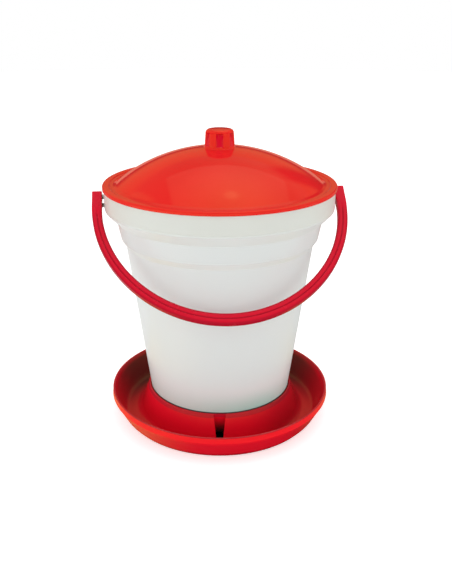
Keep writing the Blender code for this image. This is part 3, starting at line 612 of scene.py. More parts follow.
def hinge_rod(name, radius, start, end, bevel=0.0):
    """A round rod along the bail's hinge, with an optional bevel round both ends."""
    shape = bmesh.new()
    place = Matrix.Translation(((start + end) / 2, 0.0, HINGE_Z)) @ Matrix.Rotation(math.pi / 2, 4, "Y")
    bmesh.ops.create_cone(
        shape, cap_ends=True, segments=ROD_FACETS, radius1=radius, radius2=radius,
        depth=abs(end - start), matrix=place)
    if bevel > 0.0:
        edges = [e for e in shape.edges if abs(e.verts[0].co.x - e.verts[1].co.x) < NEARLY_LEVEL]
        bevel_edges(shape, edges, bevel, BEVEL_STEPS)
    return from_bmesh(name, shape)


def build_lid():
    """The domed lid, with its fluted knob, rolled rim and spigot."""
    start = math.degrees(math.acos(KNOB_FOOT_RADIUS / DOME_RADIUS))
    end = math.degrees(math.acos(DOME_FOOT_RADIUS / DOME_RADIUS))
    inner_radius = DOME_RADIUS - LID_WALL
    flange_under = GROOVE_Z - LID_WALL
    inner_end = math.degrees(math.asin((flange_under - DOME_CENTRE_Z) / inner_radius))
    cavity_foot = KNOB_FOOT_RADIUS - KNOB_WALL
    inner_start = math.degrees(math.acos(cavity_foot / inner_radius))
    cavity_top = KNOB_TOP_RADIUS - KNOB_WALL
    rim_inner = LID_RADIUS - LID_RIM_WIDTH
    channel_top = LIP_TOP_Z + SLIDE_GAP
    skirt_inner = LID_RADIUS - LID_SKIRT_WALL
    seal_top = flange_under - LID_WALL
    seal_foot = seal_top - SEAL_HEIGHT - 2 * SEAT_GAP
    groove_r = SPIGOT_RADIUS - SEAL_GROOVE
    spigot_inner = groove_r - LID_WALL
    spigot_foot = flange_under - SPIGOT_DEPTH
    knob = dense(rounded([
        (0.0, KNOB_TOP_Z),
        (KNOB_TOP_RADIUS / 2, KNOB_TOP_Z - KNOB_CROWN_DROP, KNOB_CROWN_ROUND),
        (KNOB_TOP_RADIUS + KNOB_CORNER_REACH, KNOB_TOP_Z - KNOB_CORNER_DROP, KNOB_CORNER),
        (KNOB_FOOT_RADIUS, KNOB_FOOT_Z, KNOB_FOOT_ROUND),
        on_dome(DOME_RADIUS, start - KNOB_FOOT_TURN),
    ]), KNOB_STRETCH)
    dome = dome_arc(
        DOME_RADIUS, start - KNOB_FOOT_TURN - DOME_JOIN, end + DOME_FOOT_TURN + DOME_FOOT_JOIN, DOME_STEPS)
    rim = rounded([
        on_dome(DOME_RADIUS, end + DOME_FOOT_TURN),
        (DOME_FOOT_RADIUS, LID_EDGE_Z + DOME_FOOT_RISE, DOME_FOOT_ROUND),
        (DOME_FOOT_RADIUS + LID_FLANGE_SLOPE, GROOVE_Z, DOME_FOOT_ROUND),
        (rim_inner, GROOVE_Z, LID_RIM_FOOT_ROUND),
        (rim_inner + LID_RIM_SLOPE, RIM_TOP_Z, LID_RIM_TOP_ROUND),
        (LID_RADIUS, RIM_TOP_Z, LID_EDGE_TOP_ROUND),
        (LID_RADIUS, LID_EDGE_Z, LID_EDGE_ROUND),
        (skirt_inner, LID_EDGE_Z, LID_SKIRT_ROUND),
        (skirt_inner, channel_top, LID_SKIRT_ROUND),
        (SPIGOT_RADIUS, channel_top, LID_SKIRT_ROUND),
        (SPIGOT_RADIUS, seal_top),
        (groove_r, seal_top),
        (groove_r, seal_foot),
        (SPIGOT_RADIUS, seal_foot),
        (SPIGOT_RADIUS - LID_WALL / 2, spigot_foot, SPIGOT_ROUND),
        (spigot_inner, spigot_foot, SPIGOT_ROUND),
        (spigot_inner, flange_under, SPIGOT_ROOT_ROUND),
        on_dome(inner_radius, inner_end + DOME_UNDER_TURN),
    ])
    under = dome_arc(inner_radius, inner_end + DOME_UNDER_TURN + DOME_JOIN, inner_start, DOME_UNDER_STEPS)
    cavity = [(cavity_top, KNOB_TOP_Z - LID_WALL - KNOB_EDGE_ROUND), (0.0, KNOB_TOP_Z - LID_WALL)]
    profile = knob + dome + rim + under + cavity

    half_width = math.sqrt(FLUTE_RADIUS ** 2 - (FLUTE_RADIUS - FLUTE_DEPTH) ** 2)
    half_angle = math.asin(half_width / KNOB_FOOT_RADIUS) * FLUTE_SPREAD
    foot_z = KNOB_FOOT_Z + FLUTE_FOOT_RISE
    top_z = KNOB_TOP_Z - FLUTE_TOP_DROP
    spacing = 2 * math.pi / FLUTE_COUNT

    def flute(radius, z, angle):
        """The radius of the knob's outer side with the flutes cut in, and of the rest as it is."""
        upright = KNOB_FOOT_Z + FLUTE_CLEAR_FOOT <= z <= KNOB_TOP_Z - FLUTE_CLEAR_TOP
        if not upright or not cavity_foot <= radius <= KNOB_FOOT_RADIUS + FLUTE_CLEAR_SIDE:
            return radius
        window = soft_step((z - foot_z + FLUTE_FADE) / FLUTE_FADE)
        window *= soft_step((top_z + FLUTE_FADE - z) / FLUTE_FADE)
        offset = (angle + math.pi / 2 + TURN + spacing / 2) % spacing - spacing / 2
        side = soft_step((1.0 - abs(offset) / half_angle) / FLUTE_SIDE)
        down = min(1.0, max(0.0, (top_z - z) / (top_z - foot_z)))
        depth = FLUTE_DEPTH * (FLUTE_TOP_SHARE + (FLUTE_FOOT_SHARE - FLUTE_TOP_SHARE) * down)
        return radius - depth * side * window

    lid = turned("lid_moulding", profile, closed=False, facets=LID_FACETS, bend=flute)
    smooth(lid, LID_SHARP_ANGLE)
    return lid


def build_bucket():
    """The tapered bucket, with its bands, lip and recessed floor, and the studs and lugs for the bail."""
    foot_inner = BUCKET_FOOT_RADIUS - BUCKET_WALL
    rim_bead_z = RIM_BAND_FOOT_Z + RIM_BEAD_RISE
    band_bead_z = BAND_FOOT_Z + BAND_BEAD_RISE
    recess_radius = BAND_FOOT_RADIUS - 2 * BEAD_PROUD
    profile = rounded([
        (LIP_OUTER_RADIUS, LIP_TOP_Z, LIP_ROUND),
        (LIP_OUTER_RADIUS, LEDGE_Z),
        (RIM_BAND_TOP_RADIUS, LEDGE_Z, RIM_BAND_ROUND),
        (RIM_BAND_FOOT_RADIUS, rim_bead_z + BEAD_HEIGHT, BEAD_TOP_ROUND),
        (RIM_BAND_FOOT_RADIUS + BEAD_PROUD, rim_bead_z, BEAD_ROUND),
        (RIM_BAND_FOOT_RADIUS - BEAD_PROUD, rim_bead_z - BEAD_HEIGHT, RECESS_ROUND),
        (RIM_BAND_FOOT_RADIUS - BEAD_PROUD, RIM_BAND_FOOT_Z, SHOULDER_TOP_ROUND),
        (BAND_TOP_RADIUS, BAND_TOP_Z, SHOULDER_FOOT_ROUND),
        (BAND_FOOT_RADIUS, band_bead_z + BEAD_HEIGHT / 2, BEAD_ROUND),
        (recess_radius, band_bead_z - BEAD_HEIGHT / 2, RECESS_ROUND),
        (recess_radius, BAND_FOOT_Z, STEP_TOP_ROUND),
        (TAPER_TOP_RADIUS, TAPER_TOP_Z, STEP_FOOT_ROUND),
        (BUCKET_FOOT_RADIUS, FOOT_Z, BUCKET_FOOT_ROUND),
        (foot_inner, FOOT_Z, BUCKET_FOOT_ROUND),
        (foot_inner, FLOOR_UNDER_Z, BUCKET_RECESS_ROUND),
        (VALVE_HOLE_RADIUS, FLOOR_UNDER_Z),
        (VALVE_HOLE_RADIUS, FLOOR_TOP_Z),
        (bucket_radius(FLOOR_TOP_Z) - BUCKET_WALL, FLOOR_TOP_Z, BUCKET_FLOOR_ROUND),
        (TAPER_TOP_RADIUS - BUCKET_WALL, TAPER_TOP_Z + STEP_INNER_RISE, STEP_INNER_ROUND),
        (BAND_FOOT_RADIUS - BUCKET_WALL, BAND_FOOT_Z + STEP_INNER_RISE, BAND_INNER_ROUND),
        (BAND_TOP_RADIUS - BUCKET_WALL, BAND_TOP_Z + SHOULDER_INNER_RISE, SHOULDER_INNER_ROUND),
        (LIP_INNER_RADIUS, RIM_BAND_FOOT_Z + SHOULDER_INNER_RISE, RIM_BAND_INNER_ROUND),
        (LIP_INNER_RADIUS, LIP_TOP_Z, LIP_ROUND),
    ], closed=True)
    bucket = turned("bucket_moulding", dense(profile, BUCKET_STRETCH, closed=True), closed=True)

    head_end = BAIL_ARM_X + BAIL_WIDTH / 2 - (EYE_SINK - STUD_HEAD_LENGTH)
    head_start = head_end - STUD_HEAD_LENGTH
    root = RIM_BAND_FOOT_RADIUS - LIP_WALL * STUD_ROOT_SHARE
    tail_sweep = math.hypot(BAIL_TAIL, BAIL_EYE_THICKNESS / 2) + SLIDE_GAP
    lug_top = HINGE_Z - tail_sweep
    lug_foot = lug_top - LUG_HEIGHT
    under_arm = BAIL_EYE_THICKNESS / 2 + SEAT_GAP
    sin_rest = math.sin(BAIL_REST_TILT)
    cos_rest = math.cos(BAIL_REST_TILT)
    shoulder = (HINGE_Z - lug_top - under_arm / sin_rest) * sin_rest / cos_rest
    outer = shoulder + LUG_REACH
    outer_z = lug_top - LUG_REACH * cos_rest / sin_rest
    outline = [
        (-outer, lug_foot), (outer, lug_foot), (outer, outer_z),
        (shoulder, lug_top), (-shoulder, lug_top), (-outer, outer_z)]
    added = []
    for side, label in ((1, "right"), (-1, "left")):
        added.append(hinge_rod(
            "stud_" + label, STUD_RADIUS, side * root, side * (head_start + SEAT_GAP)))
        added.append(hinge_rod(
            "stud_head_" + label, STUD_HEAD_RADIUS, side * head_start, side * head_end,
            bevel=STUD_HEAD_BEVEL))
        added.append(prism(
            "lug_" + label, outline, root, RIM_BAND_FOOT_RADIUS + LUG_PROUD,
            turn=0.0 if side > 0 else math.pi, bevel=LUG_BEVEL))
    combine(bucket, added, "UNION")
    smooth(bucket, SHARP_ANGLE)
    return bucket


def build_tray():
    """The round tray, with its collar, water slot and channel, and the ribs and post under the bucket."""
    rim_foot_z = TRAY_RIM_HEIGHT - TRAY_LIP_DEPTH
    wall_foot = TRAY_BASE_RADIUS + TRAY_CORNER_FLARE
    inner_foot = wall_foot - TRAY_WALL
    inner_top = TRAY_WALL_TOP_RADIUS - TRAY_WALL
    trough_edge = inner_foot - TRAY_CORNER_HEIGHT * TROUGH_CORNER_INWARD
    wall_edge = inner_foot + TRAY_WALL * TROUGH_CORNER_OUTWARD
    profile = rounded([
        (0.0, POST_TOP),
        (POST_TOP_RADIUS, POST_TOP, POST_TOP_ROUND),
        (POST_FOOT_RADIUS, TRAY_FLOOR, TRAY_FLOOR_ROUND),
        (COLLAR_INNER_RADIUS + COLLAR_FLARE, TRAY_FLOOR, TRAY_FLOOR_ROUND),
        (COLLAR_INNER_RADIUS, COLLAR_TOP, COLLAR_EDGE_ROUND),
        (COLLAR_OUTER_RADIUS, COLLAR_TOP, COLLAR_TOP_ROUND),
        (COLLAR_FOOT_RADIUS, TRAY_FLOOR, COLLAR_FOOT_ROUND),
        (trough_edge, TRAY_FLOOR, TROUGH_ROUND),
        (wall_edge, TRAY_FLOOR + TRAY_CORNER_HEIGHT, TRAY_CORNER_ROUND),
        (inner_top, TRAY_RIM_HEIGHT, TRAY_RIM_INNER_ROUND),
        (TRAY_RIM_RADIUS, TRAY_RIM_HEIGHT, TRAY_RIM_ROUND),
        (TRAY_RIM_RADIUS - TRAY_LIP_DRAFT, rim_foot_z, TRAY_LIP_ROUND),
        (TRAY_WALL_TOP_RADIUS - TRAY_LIP_TUCK, rim_foot_z - TRAY_LIP_UNDERCUT, TRAY_LIP_ROOT_ROUND),
        (wall_foot, TRAY_CORNER_HEIGHT, TRAY_CORNER_ROUND),
        (TRAY_BASE_RADIUS + TRAY_FOOT_REACH, 0.0, TRAY_FOOT_ROUND),
        (0.0, 0.0),
    ])
    tray = turned("tray_moulding", dense(profile, TRAY_STRETCH), closed=False)

    # A wedge inside the collar, cut through by the slot, becomes the channel's two sides
    slot_foot = TRAY_FLOOR + SLOT_SILL
    slot_top = COLLAR_TOP + COLLAR_WALL
    outlet_top = slot_foot + OUTLET_HEIGHT
    wedge_top = COLLAR_TOP - SEAT_GAP
    back_top = COLLAR_INNER_RADIUS + COLLAR_CLEARANCE / 2
    back_foot = bucket_radius(outlet_top) + COLLAR_CLEARANCE * 2
    back_lean = (back_top - back_foot) / (wedge_top - outlet_top)
    wedge_foot = back_foot - back_lean * (outlet_top - TRAY_FLOOR / 2)
    inset = CHANNEL_BACK / 2
    side = SLOT_TOP_WIDTH / 2 + CHANNEL_SIDE
    outline = [
        (wedge_foot + inset, TRAY_FLOOR / 2), (COLLAR_FOOT_RADIUS - COLLAR_WALL / 2, TRAY_FLOOR / 2),
        (COLLAR_OUTER_RADIUS - COLLAR_WALL / 2, wedge_top), (back_top + inset, wedge_top)]
    wedge = prism("channel_wedge", outline, -side, side, turn=-TURN - math.pi)
    combine(tray, [wedge], "UNION")

    spread = (SLOT_TOP_WIDTH - SLOT_FOOT_WIDTH) * (slot_top - slot_foot) / (COLLAR_TOP - slot_foot)
    top_half = (SLOT_FOOT_WIDTH + spread) / 2
    foot_half = SLOT_FOOT_WIDTH / 2
    outline = rounded([
        (-foot_half, slot_foot, SLOT_ROUND), (foot_half, slot_foot, SLOT_ROUND),
        (top_half, slot_top), (-top_half, slot_top)], closed=True, steps_per_turn=SLOT_ROUND_STEPS)
    slot = prism(
        "slot_cutter", outline, wedge_foot - CHANNEL_BACK, COLLAR_FOOT_RADIUS + SLOT_CUT_REACH,
        turn=-TURN - math.pi / 2)
    combine(tray, [slot], "DIFFERENCE")

    outline = [
        (back_foot, outlet_top), (back_foot + CHANNEL_BACK, outlet_top),
        (back_top + CHANNEL_BACK, wedge_top), (back_top, wedge_top)]
    half = side - CHANNEL_SIDE / 2
    back = prism("channel_back", outline, -half, half, turn=-TURN - math.pi)
    combine(tray, [back], "UNION")

    rib_inner = BUCKET_FOOT_RADIUS - BUCKET_WALL - RIB_INNER_OVERLAP
    rib_outer = COLLAR_INNER_RADIUS + COLLAR_FLARE * (COLLAR_TOP - RIB_TOP) / (COLLAR_TOP - TRAY_FLOOR)
    half = RIB_THICKNESS / 2
    outline = [(-half, TRAY_FLOOR / 2), (half, TRAY_FLOOR / 2), (half, RIB_TOP), (-half, RIB_TOP)]
    ribs = []
    for index in range(RIB_COUNT):
        ribs.append(prism(
            "rib_%d" % (index + 1), outline, rib_inner, rib_outer + COLLAR_WALL / 2,
            turn=RIB_TURN + 2 * math.pi * index / RIB_COUNT))
    combine(tray, ribs, "UNION")
    smooth(tray, SHARP_ANGLE)
    return tray


def bail_path():
    """Stations along the bail: along the hinge, and away from it."""
    first = math.asin((BAIL_STRAIGHT - BAIL_OFFSET) / BAIL_REACH)
    stretch = BAIL_ARM_X / (BAIL_SPAN * math.cos(first))
    length = BAIL_STRAIGHT + BAIL_TAIL
    straight = [
        -BAIL_TAIL + length * step / BAIL_STRAIGHT_STEPS for step in range(BAIL_STRAIGHT_STEPS)]
    stations = [(BAIL_ARM_X, away) for away in straight]
    for index in range(BAIL_STEPS + 1):
        angle = first + (math.pi - 2 * first) * index / BAIL_STEPS
        blend = math.sin(angle) ** 2
        along = BAIL_SPAN * math.cos(angle) * (stretch * (1 - blend) + blend)
        stations.append((along, BAIL_OFFSET + BAIL_REACH * math.sin(angle)))
    return stations + [(-BAIL_ARM_X, away) for away in reversed(straight)]


def bail_section(width, thickness, groove):
    """Outline (outward, across) of the bail: each broad face has a groove between two soft ridges."""
    half_w = width / 2
    corner = BAIL_CORNER
    face = []
    for step in range(BAIL_FACE_STEPS + 1):
        u = (half_w - corner) * (2 * step / BAIL_FACE_STEPS - 1)
        middle = 0.5 + 0.5 * math.cos(math.pi * min(1.0, abs(u) / (BAIL_GROOVE_WIDTH / 2)))
        side = soft_step((abs(u) / half_w - BAIL_RIDGE_EDGE) / (1.0 - BAIL_RIDGE_EDGE))
        face.append((u, groove * max(middle, side)))
    half_t = thickness / 2 - face[0][1]
    face = [(u, dip - face[0][1]) for u, dip in face]
    bend = []
    for step in range(1, BAIL_CORNER_STEPS):
        angle = math.pi / 2 * step / BAIL_CORNER_STEPS
        bend.append((corner * (1 - math.sin(angle)), corner * (1 - math.cos(angle))))
    half = [(u, half_t - dip) for u, dip in face]
    half += [(half_w - a, half_t - b) for a, b in bend]
    half += [(half_w, half_t - corner), (half_w, corner - half_t)]
    half += [(half_w - a, b - half_t) for a, b in reversed(bend)]
    return half + [(-u, -v) for u, v in half]


def build_handle():
    """The bail: its section carried along its path, with an eye for a stud at each end."""
    stations = bail_path()
    count = len(stations)
    reach = BAIL_OFFSET + BAIL_REACH
    shape = bmesh.new()
    rings = []
    for index, (along, away) in enumerate(stations):
        before = stations[max(index - 1, 0)]
        after = stations[min(index + 1, count - 1)]
        tangent = Vector((after[0] - before[0], after[1] - before[1])).normalized()
        outward = Vector((tangent.y, -tangent.x))
        if outward.dot(Vector((along, away))) < 0:
            outward = -outward
        share = max(0.0, away / reach)
        width = BAIL_WIDTH + (BAIL_GRIP_WIDTH - BAIL_WIDTH) * share ** 2
        fade = soft_step((away - BAIL_EYE_LENGTH) / BAIL_EYE_FADE)
        thickness = BAIL_EYE_THICKNESS + (BAIL_THICKNESS - BAIL_EYE_THICKNESS) * fade
        ring = []
        for u, v in bail_section(width, thickness, BAIL_GROOVE_DEPTH * fade):
            ring.append(shape.verts.new((along + outward.x * u, v, -(away + outward.y * u))))
        rings.append(ring)
    sides = len(rings[0])
    for first, second in zip(rings[:-1], rings[1:]):
        for side in range(sides):
            after = (side + 1) % sides
            shape.faces.new((first[side], first[after], second[after], second[side]))
    ends = [shape.faces.new(list(reversed(rings[0]))), shape.faces.new(rings[-1])]
    bmesh.ops.recalc_face_normals(shape, faces=shape.faces)
    end_edges = [edge for face in ends for edge in face.edges]
    bevel_edges(shape, end_edges, BAIL_END_BEVEL, BAIL_END_STEPS)
    shape.transform(
        Matrix.Translation((0.0, 0.0, HINGE_Z)) @ Matrix.Rotation(-BAIL_REST_TILT, 4, "X"))
    handle = from_bmesh("bail_moulding", shape)
    outer_face = BAIL_ARM_X + BAIL_WIDTH / 2
    cutters = []
    for side, label in ((1, "right"), (-1, "left")):
        for cut, radius, depth in (
                ("eye_", STUD_RADIUS, BAIL_WIDTH * EYE_CUT_INWARD), ("sink_", STUD_HEAD_RADIUS, EYE_SINK)):
            cutters.append(hinge_rod(
                cut + label, radius + EYE_CLEARANCE, side * (outer_face - depth),
                side * (outer_face + BAIL_WIDTH)))
    combine(handle, cutters, "DIFFERENCE")
    smooth(handle, SHARP_ANGLE)
    return handle


class Nodes:
    """Short calls for building the node tree of a material, a lamp or the world."""

    def __init__(self, owner):
        owner.use_nodes = True
        self.tree = owner.node_tree
        self.tree.nodes.clear()

    def add(self, kind, **settings):
        node = self.tree.nodes.new("ShaderNode" + kind)
        for key, value in settings.items():
            setattr(node, key, value)
        return node

    def link(self, source, target):
        self.tree.links.new(source, target)

    def end(self, kind, shader):
        """Links the shader to an output of that kind."""
        self.link(shader.outputs[0], self.add(kind).inputs["Surface"])

    def maths(self, operation, *values):
        """The result of an operation on numbers and sockets."""
        node = self.add("Math", operation=operation)
        for socket, value in zip(node.inputs, values):
            if isinstance(value, (int, float)):
                socket.default_value = value
            else:
                self.link(value, socket)
        return node.outputs[0]

    def product(self, *factors):
        result = factors[0]
        for factor in factors[1:]:
            result = self.maths("MULTIPLY", result, factor)
        return result

    def line(self, source, slope, start):
        """The source times slope, plus start."""
        return self.maths("MULTIPLY_ADD", source, slope, start)

    def split(self, vector):
        """The three parts of a vector."""
        node = self.add("SeparateXYZ")
        self.link(vector, node.inputs[0])
        return tuple(node.outputs)

    def distance(self, across, deep):
        """The distance from the middle of a plan."""
        return self.maths("SQRT", self.line(across, across, self.product(deep, deep)))

    def ramp(self, source, low, high):
        """0 at low and 1 at high, smooth between and level beyond; low may be the larger."""
        node = self.add("MapRange", interpolation_type="SMOOTHSTEP")
        self.link(source, node.inputs["Value"])
        node.inputs["From Min"].default_value = low
        node.inputs["From Max"].default_value = high
        return node.outputs["Result"]

    def mix(self, factor, first, second):
        """The first colour at factor 0 and the second at 1."""
        node = self.add("Mix", data_type="RGBA")
        self.link(factor, node.inputs["Factor"])
        for socket, value in ((node.inputs["A"], first), (node.inputs["B"], second)):
            if isinstance(value, tuple):
                socket.default_value = (*value, 1.0)
            else:
                self.link(value, socket)
        return node.outputs["Result"]

    def noise(self, scale, detail, vector):
        node = self.add("TexNoise")
        node.inputs["Scale"].default_value = scale
        node.inputs["Detail"].default_value = detail
        self.link(vector, node.inputs["Vector"])
        return node.outputs["Fac"]


def plastic(name, colour, shade, roughness, specular, tint=grey(1.0), grain=PLASTIC_GRAIN, paint=None,
            subsurface=0.0):
    """Moulded plastic: colour with faint clouding, uneven gloss and a fine skin texture."""
    material = bpy.data.materials.new(name)
    nodes = Nodes(material)
    shader = nodes.add("BsdfPrincipled")
    nodes.end("OutputMaterial", shader)
    where = nodes.add("TexCoord").outputs["Object"]
    clouds = nodes.noise(CLOUD_SCALE, CLOUD_DETAIL, where)
    base = nodes.mix(nodes.ramp(clouds, *CLOUD_SPAN), colour, shade)
    if paint:
        base = paint(nodes, where, base)
    nodes.link(base, shader.inputs["Base Color"])
    spread = nodes.add("MapRange")
    nodes.link(nodes.noise(SMEAR_SCALE, SMEAR_DETAIL, where), spread.inputs["Value"])
    spread.inputs["To Min"].default_value = roughness * (1.0 - GLOSS_SPREAD)
    spread.inputs["To Max"].default_value = roughness * (1.0 + GLOSS_SPREAD)
    nodes.link(spread.outputs["Result"], shader.inputs["Roughness"])
    bump = nodes.add("Bump")
    bump.inputs["Strength"].default_value = GRAIN_STRENGTH
    bump.inputs["Distance"].default_value = grain
    nodes.link(nodes.noise(GRAIN_SCALE, GRAIN_DETAIL, where), bump.inputs["Height"])
    nodes.link(bump.outputs["Normal"], shader.inputs["Normal"])
    for socket, value in (
            ("Specular IOR Level", specular), ("Specular Tint", (*tint, 1.0)),
            ("Subsurface Weight", subsurface), ("Subsurface Radius", GLOW_RADII),
            ("Subsurface Scale", GLOW_DEPTH)):
        shader.inputs[socket].default_value = value
    return material


def bucket_paint(nodes, where, base):
    """Painted light, cooler below the rim band and pale on the slopes; painted shade, grey-green at the
    foot and dark at collar and studs.
    """
    across, _, high = nodes.split(where)
    # Painted light: paler and cooler below the rim band, offsetting the tray's red bounce
    base = nodes.mix(nodes.ramp(high, *WALL_LIGHT_SPAN), base, WALL_PAINTED_LIGHT)
    # Painted light on the down-facing slopes under the rim band and under the band
    for top, foot in ((RIM_BAND_FOOT_Z, BAND_TOP_Z), (BAND_FOOT_Z, TAPER_TOP_Z)):
        slope = nodes.product(
            nodes.ramp(high, top, top - SLOPE_TOP_FADE), nodes.ramp(high, foot - SLOPE_FOOT_FADE, foot))
        base = nodes.mix(slope, base, SLOPE_PAINTED_LIGHT)
    # Painted shade near the tray: darker and grey-green at the foot, more on the right
    side = nodes.line(nodes.ramp(across, *FOOT_RIGHT_SPAN), FOOT_RIGHT_SHARE, FOOT_SHARE)
    side = nodes.line(nodes.ramp(across, *FOOT_EDGE_SPAN), FOOT_EDGE_SHARE, side)
    base = nodes.mix(nodes.product(nodes.ramp(high, *FOOT_SPAN), side), base, FOOT_PAINTED_SHADE)
    # Painted shade on the studs and lugs beside the bail's arms
    stud = nodes.ramp(nodes.maths("ABSOLUTE", across), *STUD_SPAN)
    base = nodes.mix(stud, base, STUD_PAINTED_SHADE)
    # Painted shade where the bucket meets the collar
    return nodes.mix(nodes.ramp(high, *COLLAR_LINE_SPAN), base, COLLAR_LINE_PAINTED_SHADE)


def lid_paint(nodes, where, base):
    """Painted shade in the knob's flutes, deeper in colour than the rest of the lid."""
    across, deep, high = nodes.split(where)
    reach = nodes.distance(across, deep)
    lean = (KNOB_TOP_RADIUS - KNOB_FOOT_RADIUS) / (KNOB_TOP_Z - KNOB_FOOT_Z)
    outside = nodes.line(high, lean, KNOB_FOOT_RADIUS - lean * KNOB_FOOT_Z)
    # Painted shade in the flutes, by their depth below the knob's side
    flute = nodes.product(
        nodes.ramp(nodes.maths("SUBTRACT", outside, reach), *FLUTE_DEPTH_SPAN),
        nodes.ramp(high, *FLUTE_TOP_SPAN), nodes.ramp(high, *FLUTE_FOOT_SPAN))
    return nodes.mix(flute, base, FLUTE_PAINTED_SHADE)


def bail_paint(nodes, where, base):
    """Painted shade in the bail's groove and on its narrow sides, darker than its ridges."""
    _, deep, high = nodes.split(where)
    above = nodes.product(nodes.maths("SUBTRACT", high, HINGE_Z), math.sin(BAIL_REST_TILT))
    before = nodes.product(deep, math.cos(BAIL_REST_TILT))
    aside = nodes.maths("ABSOLUTE", nodes.maths("SUBTRACT", above, before))
    face = BAIL_THICKNESS / 2
    # Painted shade in the groove and on the narrow sides
    return nodes.mix(nodes.ramp(aside, face, face - BAIL_GROOVE_DEPTH), base, BAIL_PAINTED_SHADE)


def tray_paint(nodes, where, base):
    """Painted light on the lip's face; painted shade on the rim's top, on the collar's right, in the
    trough low down and most at the back, and in the channel, darker towards its outlet.
    """
    across, deep, high = nodes.split(where)
    reach = nodes.distance(across, deep)
    # Painted shade in the trough: low down inside the wall, and most at the back
    wall_foot = TRAY_BASE_RADIUS + TRAY_CORNER_FLARE - TRAY_WALL / 2
    lean = (TRAY_WALL_TOP_RADIUS - TRAY_WALL / 2 - wall_foot) / (TRAY_RIM_HEIGHT - TRAY_CORNER_HEIGHT)
    mid_wall = nodes.line(high, lean, wall_foot - lean * TRAY_CORNER_HEIGHT)
    inside = nodes.product(
        nodes.ramp(nodes.maths("SUBTRACT", mid_wall, reach), *INSIDE_SPAN),
        nodes.ramp(high, *UNDERSIDE_SPAN))
    back = nodes.ramp(deep, *TROUGH_BACK_SPAN)
    top = nodes.line(back, TROUGH_BACK_RISE, TROUGH_TOP)
    lower = nodes.ramp(nodes.maths("SUBTRACT", top, high), *TROUGH_FALL_SPAN)
    share = nodes.line(back, TROUGH_BACK_SHARE, TROUGH_SHARE)
    shade = nodes.product(nodes.ramp(reach, *TROUGH_REACH_SPAN), lower, inside, share)
    # Painted light on the lip's outer face
    lip = nodes.product(nodes.ramp(high, *LIP_RISE_SPAN), nodes.ramp(reach, *LIP_REACH_SPAN))
    base = nodes.mix(lip, base, LIP_PAINTED_LIGHT)
    # Painted shade on the rim's top
    base = nodes.mix(nodes.ramp(high, *RIM_SPAN), base, RIM_PAINTED_SHADE)
    base = nodes.mix(shade, base, nodes.mix(back, TROUGH_FRONT_PAINTED_SHADE, TROUGH_BACK_PAINTED_SHADE))
    # Painted shade on the collar's right side
    collar = nodes.product(
        nodes.ramp(reach, *COLLAR_REACH_SPAN), nodes.ramp(across, *COLLAR_RIGHT_SPAN), COLLAR_SHADE_SHARE)
    base = nodes.mix(collar, base, COLLAR_PAINTED_SHADE)
    # Painted shade in the channel, darker towards its outlet
    turned_deep = nodes.product(deep, -math.sin(TURN))
    aside = nodes.maths("ABSOLUTE", nodes.line(across, math.cos(TURN), turned_deep))
    mouth = nodes.line(high, CHANNEL_MOUTH_SLOPE, COLLAR_OUTER_RADIUS + CHANNEL_MOUTH_REACH)
    channel = nodes.product(
        nodes.ramp(aside, *CHANNEL_SIDE_SPAN),
        nodes.ramp(nodes.maths("SUBTRACT", mouth, reach), *CHANNEL_MOUTH_SPAN),
        nodes.ramp(deep, *CHANNEL_FRONT_SPAN), nodes.ramp(high, *CHANNEL_RISE_SPAN))
    return nodes.mix(channel, base, CHANNEL_PAINTED_SHADE)


def finish_piece(piece, body, slot, material, *nodes):
    """Gives a moulding its material and its place in the frame."""
    piece.data.materials.clear()
    piece.data.materials.append(material)
    for polygon in piece.data.polygons:
        polygon.material_index = 0
    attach(piece, body)
    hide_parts(*nodes)


def white_environment():
    """White where the camera sees it, soft light all round, and a dimmer studio in reflections."""
    world = bpy.data.worlds.new("studio")
    bpy.context.scene.world = world
    nodes = Nodes(world)
    background = nodes.add("Background")
    nodes.end("OutputWorld", background)
    path = nodes.add("LightPath")
    across, deep, high = nodes.split(nodes.add("TexCoord").outputs["Generated"])
    skirting = nodes.mix(nodes.ramp(high, *SKIRTING_TOP_SPAN), SKIRTING_LIT, SKIRTING_SHADE)
    walls = nodes.mix(nodes.ramp(deep, *WALL_BACK_SPAN), WALL_FRONT, WALL_BACK)
    walls = nodes.mix(nodes.ramp(high, *WALL_FOOT_SPAN), skirting, walls)
    ceiling = nodes.mix(nodes.ramp(across, *CEILING_RIGHT_SPAN), CEILING_MIDDLE, CEILING_RIGHT)
    ceiling = nodes.mix(nodes.ramp(across, *CEILING_LEFT_SPAN), ceiling, CEILING_LEFT)
    studio = nodes.mix(nodes.ramp(high, *CEILING_SPAN), walls, ceiling)
    bearing = nodes.maths("ARCTAN2", across, deep)
    doorway = nodes.product(
        nodes.ramp(bearing, *DOORWAY_LEFT_SPAN), nodes.ramp(bearing, *DOORWAY_RIGHT_SPAN),
        nodes.ramp(high, *DOORWAY_TOP_SPAN), nodes.ramp(high, *DOORWAY_FOOT_SPAN))
    studio = nodes.mix(doorway, studio, DOORWAY_SHADE)
    seen = nodes.mix(path.outputs["Is Camera Ray"], studio, grey(1.0))
    lit = nodes.maths(
        "MAXIMUM", nodes.maths("MAXIMUM", path.outputs["Is Camera Ray"], path.outputs["Is Glossy Ray"]),
        path.outputs["Is Transmission Ray"])
    horizon = nodes.mix(nodes.ramp(across, *HORIZON_LEFT_SPAN), HORIZON_RIGHT, HORIZON_LEFT)
    horizon = nodes.mix(nodes.ramp(deep, *HORIZON_FRONT_SPAN), horizon, HORIZON_FRONT)
    glow = nodes.mix(nodes.ramp(high, *ZENITH_SPAN), horizon, ZENITH)
    nodes.link(nodes.mix(lit, glow, seen), background.inputs["Color"])
    background.inputs["Strength"].default_value = 1.0


